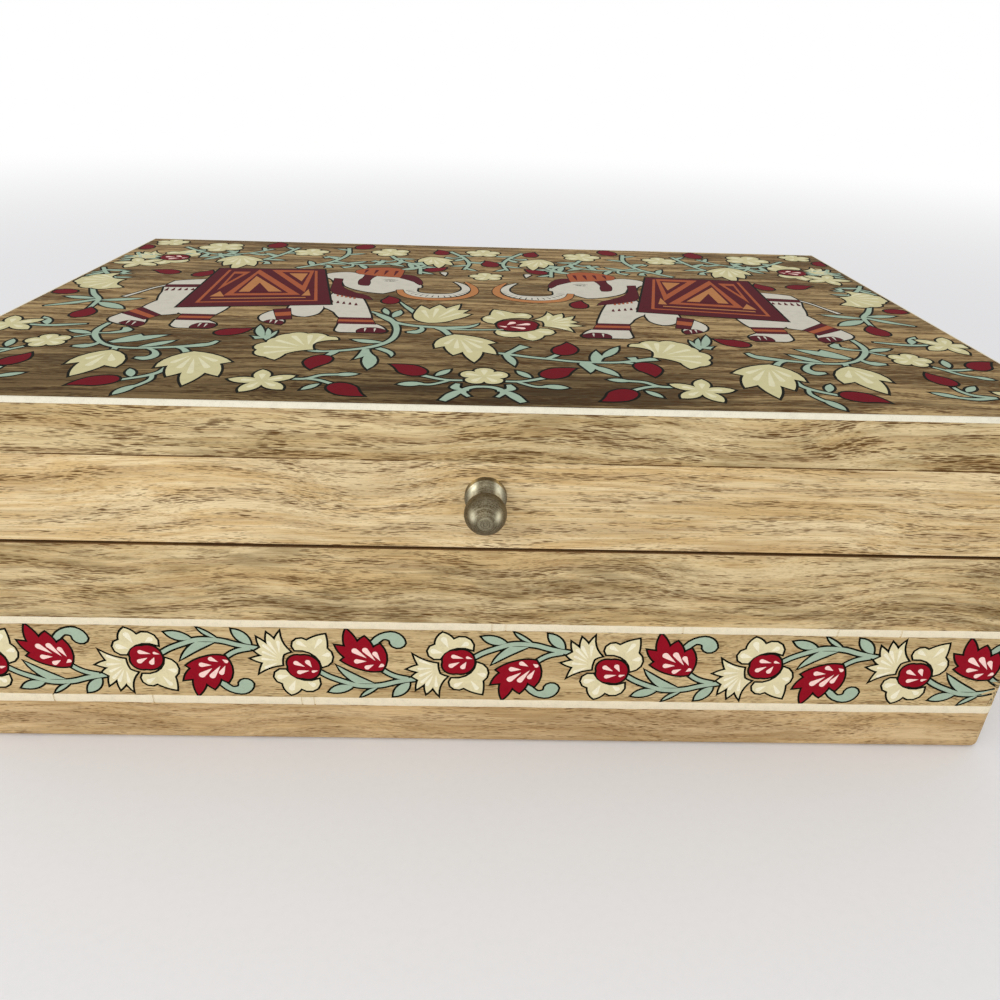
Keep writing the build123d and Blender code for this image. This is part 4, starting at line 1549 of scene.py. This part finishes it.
class JEWELLERYBOX_OT_base_walls(bpy.types.Operator):
    """Builds the base's four mitred walls and finishes the bottom panel"""

    bl_idname = "jewellery_box.base_walls"
    bl_label = "Base walls"

    def execute(self, context):
        sizes, colours = settings(context)
        for index, side in enumerate(SIDES):
            points, faces = mitred_board(side, base_profile(sizes, side), sizes.corner_radius)
            turned = index % 2 == 1
            # The wall's top takes the rim wood, dark as painted shade for the gap under the lid.
            woods = [wood(colours, kind, turned) for kind in ("plinth", "band", "wall", "rim")]
            name = f"base_wall_{side}"
            piece = new_piece(name, points, outward(points, faces), woods[0], "base", f"base_{side}_wall")
            cut_away(piece, rim_cuts(side, -1))
            lower, upper = (node_low(f"base_{level}_string_{side}").z for level in ("lower", "upper"))
            paint_by_height(piece, woods, (lower, upper, BASE_TOP - sizes.arris_radius))
        set_material(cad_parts["base_bottom_panel"], wood(colours, "plinth"))
        return {"FINISHED"}


class JEWELLERYBOX_OT_strings(bpy.types.Operator):
    """Lays the ivory coloured strings in the walls and round the lid"""

    bl_idname = "jewellery_box.strings"
    bl_label = "Strings"

    def execute(self, context):
        sizes, colours = settings(context)
        ivory, bone = resin(colours, "ivory"), resin(colours, "bone")
        for side in SIDES:
            for level in ("lower", "upper"):
                add_wall_string(sizes, side, level, ivory)
            add_lid_string(sizes, side, bone)
        return {"FINISHED"}


def waver_of(sizes, seed, middle):
    """A function of the place along a side that moves a string's edges: three sines with seeded phases."""
    phases = np.random.default_rng(seed).uniform(0, 2 * math.pi, (2, 3))
    spans = np.array(WAVER_SPANS)

    def waver(x):
        waves = np.sin(2 * math.pi * x[..., None] / spans + phases[0]).mean(-1)
        other = np.sin(2 * math.pi * x[..., None] / spans + phases[1]).mean(-1)
        return sizes.string_waver * np.where(middle > 0, waves, other)

    return waver


STRING_ARRIS = 0.08 * MM
STRING_ROLL = 0.3 * MM
WAVER_SPANS = (0.061, 0.023, 0.0094)
BREAK_DEPTH = 0.3 * MM
STRING_BREAK = 0.5 * MM
STRING_BREAKS = {"upper": (3.7, 7.4, 56.4, 99.6, 117.4), "lower": (-121.5, -93.2, -50.6, -47.0)}


def add_wall_string(sizes, side, level, ivory):
    """One string in a wall, slightly proud of the bare wood, with a hand laid waver."""
    low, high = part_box(f"base_{level}_string_{side}")
    face, soft = sizes.skin / 2, STRING_ARRIS
    profile = arc((face + soft, low.z + soft), soft, 270, 180, 3)
    profile += arc((face + soft, high.z - soft), soft, 180, 90, 3)
    profile += [(sizes.string_depth, high.z), (sizes.string_depth, low.z)]
    upper = np.array([height > (low.z + high.z) / 2 for _, height in profile])
    waver = waver_of(sizes, SIDES.index(side) + (4 if level == "upper" else 0), upper)
    points, faces = mitred_board(side, profile, sizes.corner_radius, stations=160, waver=waver)
    node = f"base_{level}_string_{side}"
    piece = new_piece(f"string_{level}_{side}", points, outward(points, faces), ivory, "base", node)
    if side == "front":
        front, half = -BOX_DEPTH / 2, STRING_BREAK / 2
        cut_away(piece, [
            box_corners((at * MM - half, front - MM, low.z - MM), (at * MM + half, front + BREAK_DEPTH, high.z + MM))
            for at in STRING_BREAKS[level]
        ])


def add_lid_string(sizes, side, bone):
    """One string in the lid's arris, its outer face following the crown and rolled over at the top."""
    low = node_low(f"lid_string_{side}")
    inner_face = -node_high("lid_string_front").y if side in ("front", "back") else node_low("lid_string_right").x
    inner = side_spans(side)[1] - inner_face
    face = sizes.skin / 2
    top = BOX_TOP - face
    heights = np.linspace(low.z, top - STRING_ROLL, 5)
    profile = [(crown_inset_at(sizes, height) + face, height) for height in heights]
    profile += arc((profile[-1][0] + STRING_ROLL + 0.05 * MM, top - STRING_ROLL), STRING_ROLL, 150, 90, 4)
    profile += [(inner, top), (inner, low.z)]
    points, faces = mitred_board(side, profile, sizes.corner_radius, stations=160)
    new_piece(f"string_lid_{side}", points, outward(points, faces), bone, "lid", f"lid_string_{side}")


class JEWELLERYBOX_OT_lid_boards(bpy.types.Operator):
    """Builds the lid's four rails and its thick board"""

    bl_idname = "jewellery_box.lid_boards"
    bl_label = "Lid boards"

    def execute(self, context):
        sizes, colours = settings(context)
        for index, side in enumerate(SIDES):
            points, faces = mitred_board(side, rail_profile(sizes, side), sizes.corner_radius)
            # The rail's underside takes the rim wood, dark as painted shade for the gap over the base.
            woods = [wood(colours, kind, index % 2 == 1) for kind in ("rim", "rail", "joint")]
            name = f"lid_rail_{side}"
            piece = new_piece(name, points, outward(points, faces), woods[0], "lid", f"lid_{side}_rail")
            cut_away(piece, rim_cuts(side, 1))
            paint_by_height(piece, woods, (LID_BOTTOM + sizes.arris_radius, RAIL_TOP - sizes.joint))
        add_top_board(sizes, colours)
        return {"FINISHED"}


def add_top_board(sizes, colours):
    """The thick board: eased below, crowned above, with a step in its arris for the strings."""
    skin, small = sizes.skin, sizes.arris_radius
    low = node_low("lid_string_front")
    shoulder = BOX_TOP - sizes.crown_drop
    profile = [(WALL, RAIL_TOP)] + arc((skin + small, RAIL_TOP + small), small, 270, 180)
    for height in np.linspace(shoulder, low.z, 8):
        profile.append((crown_inset_at(sizes, height) + skin, height))
    inner = BOX_DEPTH / 2 + node_high("lid_string_front").y
    profile += [(inner, low.z), (inner, BOX_TOP - skin)]
    rings = offset_rings(profile, sizes.corner_radius)
    points, faces = rings.reshape(-1, 3), tube_faces(*rings.shape[:2])
    woods = [wood(colours, kind) for kind in ("edge", "lid")]
    board = new_piece("lid_board", points, outward(points, faces), woods[0], "lid", "lid_top_board")
    paint_by_height(board, woods, (BOX_TOP - 1.5 * skin,))


class JEWELLERYBOX_OT_band(bpy.types.Operator):
    """Inlays the flower band in the four walls"""

    bl_idname = "jewellery_box.band"
    bl_label = "Flower band"

    def execute(self, context):
        sizes, colours = settings(context)
        for side, drawing in band_drawings(sizes).items():
            inlay_pieces(drawing, f"band_{side}", colours, "base", wrap_round(sizes, side))
        return {"FINISHED"}


class JEWELLERYBOX_OT_lid_flowers(bpy.types.Operator):
    """Inlays the flowers and vines in the lid's top"""

    bl_idname = "jewellery_box.lid_flowers"
    bl_label = "Lid flowers"

    def execute(self, context):
        sizes, colours = settings(context)
        drawing = mirrored_lid(lid_half()).add(lid_middle()).clipped(*picture_halves())
        inlay_pieces(drawing, "lid_flowers", colours, "lid", on_top(sizes), LID_BOLDNESS, LID_SHADED_COLOURS)
        return {"FINISHED"}


class JEWELLERYBOX_OT_lid_elephants(bpy.types.Operator):
    """Inlays the two elephants in the lid's top"""

    bl_idname = "jewellery_box.lid_elephants"
    bl_label = "Lid elephants"

    def execute(self, context):
        sizes, colours = settings(context)
        drawing = mirrored_lid(Drawing().add(lid_elephant()).add(lid_cloth()))
        inlay_pieces(drawing, "lid_elephants", colours, "lid", on_top(sizes), LID_BOLDNESS, LID_SHADED_COLOURS)
        return {"FINISHED"}


def lathe(centre, rim, height, steps=72):
    """A turned shape that points along -Y: rings of radius rim at each height in front of the centre."""
    angle = np.linspace(0, 2 * math.pi, steps, endpoint=False)
    x = centre[0] + rim[:, None] * np.cos(angle)
    z = centre[2] + rim[:, None] * np.sin(angle)
    y = np.broadcast_to(centre[1] - height[:, None], x.shape)
    points = np.stack((x, y, z), -1).reshape(-1, 3)
    ends = [(centre[0], centre[1] - height[0], centre[2]), (centre[0], centre[1] - height[-1], centre[2])]
    faces = strip_faces(len(rim), steps, wrap=True).tolist()
    first, last = len(points), len(points) + 1
    final = (len(rim) - 1) * steps
    for index in range(steps):
        after = (index + 1) % steps
        faces += [(first, index, after), (last, final + after, final + index)]
    return np.concatenate((points, ends)), faces


KNOB_CONE_TOP = 4.6
KNOB_TIP_RADIUS = 1.9
# How much the knob's painted highlights lighten it, and how dark the tip's painted dark reflection is.
KNOB_HIGHLIGHT = 0.85
TIP_DARKNESS = 0.84


def knob_profile():
    """The knob's radii, heights from the rail and grime: a foot, a flared cone, a grooved ball and a ringed tip."""
    foot = [(5.3, -0.1, 1.0), (5.3, 0.3, 1.0), (5.3, 1.6, 0.95), (5.2, 1.85, 0.6), (5.0, 1.98, 0.5)]
    share = np.linspace(0, 1, 9)
    cone = [(4.9 - 2.3 * t**0.75, 2.0 + 2.5 * t**1.25, 0.05 + 0.85 * t**3) for t in share]
    angle = np.radians(np.linspace(30, 159.5, 60))
    groove = sum(np.exp(-(((angle - math.radians(at)) / 0.022) ** 2)) for at in (66, 80))
    radius = 5.2 - 0.11 * groove
    ball = np.stack((radius * np.sin(angle), 9.303 - radius * np.cos(angle),
                     0.9 * np.exp(-(((angle - 0.5) / 0.45) ** 2)) + 0.7 * groove + 0.1), -1)
    tip = [(1.85, 14.2, 0.8), (1.75, 14.4, 0.2), (1.6, 14.46, 0.1), (1.15, 14.46, 0.1), (1.08, 14.38, 0.8),
           (1.0, 14.46, 0.1), (0.55, 14.46, 0.1), (0.48, 14.38, 0.8), (0.4, 14.46, 0.1), (0.1, 14.46, 0.1)]
    return np.concatenate((foot, cone, ball, tip)).T


class JEWELLERYBOX_OT_knob(bpy.types.Operator):
    """Turns the brass knob on the lid's front rail"""

    bl_idname = "jewellery_box.knob"
    bl_label = "Knob"

    def execute(self, context):
        colours = context.scene.jewellery_box_colours
        low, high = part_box("knob")
        centre = ((low.x + high.x) / 2, -BOX_DEPTH / 2, (low.z + high.z) / 2)
        rim, height, grime = knob_profile()
        points, faces = lathe(centre, rim * MM, height * MM)
        brass = metal(colours, "knob_brass", colours.knob_highlight, 0.5, 0.04 * MM)
        piece = new_piece("knob_turned", points, outward(points, faces), brass, "lid", "knob", 40)
        steps = (len(points) - 2) // len(rim)
        # Painted light on the knob: painted highlights at both sides of the ball and the cone, a painted dark
        # reflection down their middle and over the tip, and real patina in the tip's ring grooves.
        across, above = ((points[:-2, axis] - centre[axis]) / MM for axis in (0, 2))
        ball_highlight = np.exp(-(((np.abs(across) - 3.1) / 0.7) ** 2) - ((above - 1.3) / 1.2) ** 2)
        cone_highlight = np.exp(-(((np.abs(across) - 3.2) / 0.9) ** 2))
        painted_highlight = np.where(np.repeat(height, steps) < KNOB_CONE_TOP, cone_highlight, ball_highlight)
        on_tip = np.repeat(rim, steps) < KNOB_TIP_RADIUS
        tip_darkness = TIP_DARKNESS + (1 - TIP_DARKNESS) * np.repeat(grime, steps)
        painted = np.where(on_tip, tip_darkness, 1.0 - KNOB_HIGHLIGHT * painted_highlight)
        attribute = piece.data.attributes.new(DARKNESS, "FLOAT", "POINT")
        attribute.data.foreach_set("value", np.concatenate((painted, (1.0, TIP_DARKNESS))))
        return {"FINISHED"}


class JEWELLERYBOX_OT_lining(bpy.types.Operator):
    """Lines the walls with velvet and lays the floor pad and the lid pad"""

    bl_idname = "jewellery_box.lining"
    bl_label = "Velvet lining"

    def execute(self, context):
        cloth = velvet(context.scene.jewellery_box_colours)
        for body in ("base", "lid"):
            for side in SIDES:
                add_wall_lining(body, side, cloth)
        add_pad("pad_base_floor", "base_floor_pad", "base", cloth, resting=0)
        add_pad("pad_lid_top", "lid_lining_top", "lid", cloth, resting=1)
        return {"FINISHED"}


def add_wall_lining(body, side, cloth):
    """Velvet over card on one wall: flat against the wood and rounded over at its free edges."""
    node = f"{body}_lining_{side}"
    low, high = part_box(node)
    soft = 0.45 * LINING
    near, far = WALL + 0.01 * MM, WALL + LINING
    profile = [(near, low.z), (near, high.z)] + arc((far - soft, high.z - soft), soft, 90, 0)
    middle = (low.z + high.z) / 2
    pressed = far - 0.12 * LINING
    profile += [(pressed, middle + 0.3 * (high.z - middle)), (pressed, middle)]
    profile += arc((far - soft, low.z + soft), soft, 0, -90)
    points, faces = mitred_board(side, profile, 0.0, stations=30)
    new_piece(f"lining_{body}_{side}", points, outward(points, faces), cloth, body, node)


PAD_PULL = 0.5 * MM


def add_pad(name, node, body, cloth, resting, rows=90, columns=60):
    """A thin crowned pad: its free face rises as the root of (1 - |u|^n)(1 - |v|^n) and its sides pull in."""
    low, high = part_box(node)
    u, v = np.meshgrid(*(np.sin(np.linspace(-1, 1, count) * math.pi / 2) for count in (rows, columns)), indexing="ij")
    x = (low.x + high.x) / 2 + u * ((high.x - low.x) / 2 - PAD_PULL * (1 - v**2) * np.abs(u))
    y = (low.y + high.y) / 2 + v * ((high.y - low.y) / 2 - PAD_PULL * (1 - u**2) * np.abs(v))
    seam, flat, crown = (0.35, 0, 1) if resting == 0 else (0.65, 1, 0)
    free = np.sqrt(np.maximum((1 - np.abs(u) ** 14) * (1 - np.abs(v) ** 14), 0))
    held = np.sqrt(np.maximum((1 - np.abs(u) ** 60) * (1 - np.abs(v) ** 60), 0))
    swell = 0.82 + 0.18 * (1 - u**2) * (1 - v**2)
    tall = high.z - low.z
    top = np.stack((x, y, low.z + tall * (seam + (crown - seam) * free * swell)), -1)
    under = np.stack((x, y, low.z + tall * (seam + (flat - seam) * held)), -1)
    index = np.arange(rows * columns).reshape(rows, columns)
    inner = np.zeros((rows, columns), bool)
    inner[1:-1, 1:-1] = True
    other = index.copy()
    other[inner] = rows * columns + np.arange(inner.sum())
    points = np.concatenate((top.reshape(-1, 3), under[inner]))
    quads = strip_faces(rows, columns)
    faces = quads.tolist() + other.ravel()[quads][:, ::-1].tolist()
    piece = new_piece(name, points, outward(points, faces), cloth, body, node, 80)


class JEWELLERYBOX_OT_fittings(bpy.types.Operator):
    """Finishes the hinges, their screws and what holds the knob"""

    bl_idname = "jewellery_box.fittings"
    bl_label = "Hinges and fastenings"

    def execute(self, context):
        colours = context.scene.jewellery_box_colours
        brass = metal(colours, "hinge_brass", colours.brass, 0.45)
        steel = metal(colours, "fastening_steel", colours.steel, 0.2)
        for name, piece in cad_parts.items():
            if name.startswith("hinge"):
                set_material(piece, brass)
            elif name in ("knob_screw", "knob_washer"):
                set_material(piece, steel)
        return {"FINISHED"}


def set_material(piece, material):
    """Gives a frame node one material."""
    piece.data.materials.clear()
    piece.data.materials.append(material)


class JEWELLERYBOX_PT_panel(bpy.types.Panel):
    """Lists the steps that dress the box"""

    bl_idname = "JEWELLERYBOX_PT_panel"
    bl_label = "Jewellery Box"
    bl_space_type = "VIEW_3D"
    bl_region_type = "UI"
    bl_category = "Jewellery Box"

    def draw(self, context):
        for step in STEPS:
            self.layout.operator(step.bl_idname)


STEPS = (
    JEWELLERYBOX_OT_stage,
    JEWELLERYBOX_OT_base_walls,
    JEWELLERYBOX_OT_strings,
    JEWELLERYBOX_OT_lid_boards,
    JEWELLERYBOX_OT_band,
    JEWELLERYBOX_OT_lid_flowers,
    JEWELLERYBOX_OT_lid_elephants,
    JEWELLERYBOX_OT_knob,
    JEWELLERYBOX_OT_lining,
    JEWELLERYBOX_OT_fittings,
)
CLASSES = (JewelleryBoxSizes, JewelleryBoxColours, *STEPS, JEWELLERYBOX_PT_panel)


def register():
    """Registers the classes and hangs the settings on the scene."""
    for item in CLASSES:
        bpy.utils.register_class(item)
    bpy.types.Scene.jewellery_box_sizes = bpy.props.PointerProperty(type=JewelleryBoxSizes)
    bpy.types.Scene.jewellery_box_colours = bpy.props.PointerProperty(type=JewelleryBoxColours)


def unregister():
    """Undoes register."""
    del bpy.types.Scene.jewellery_box_colours
    del bpy.types.Scene.jewellery_box_sizes
    for item in reversed(CLASSES):
        bpy.utils.unregister_class(item)


def main():
    """Dresses the frame step by step."""
    register()
    for step in STEPS:
        group, name = step.bl_idname.split(".")
        getattr(getattr(bpy.ops, group), name)()


if __name__ == "__main__":
    main()
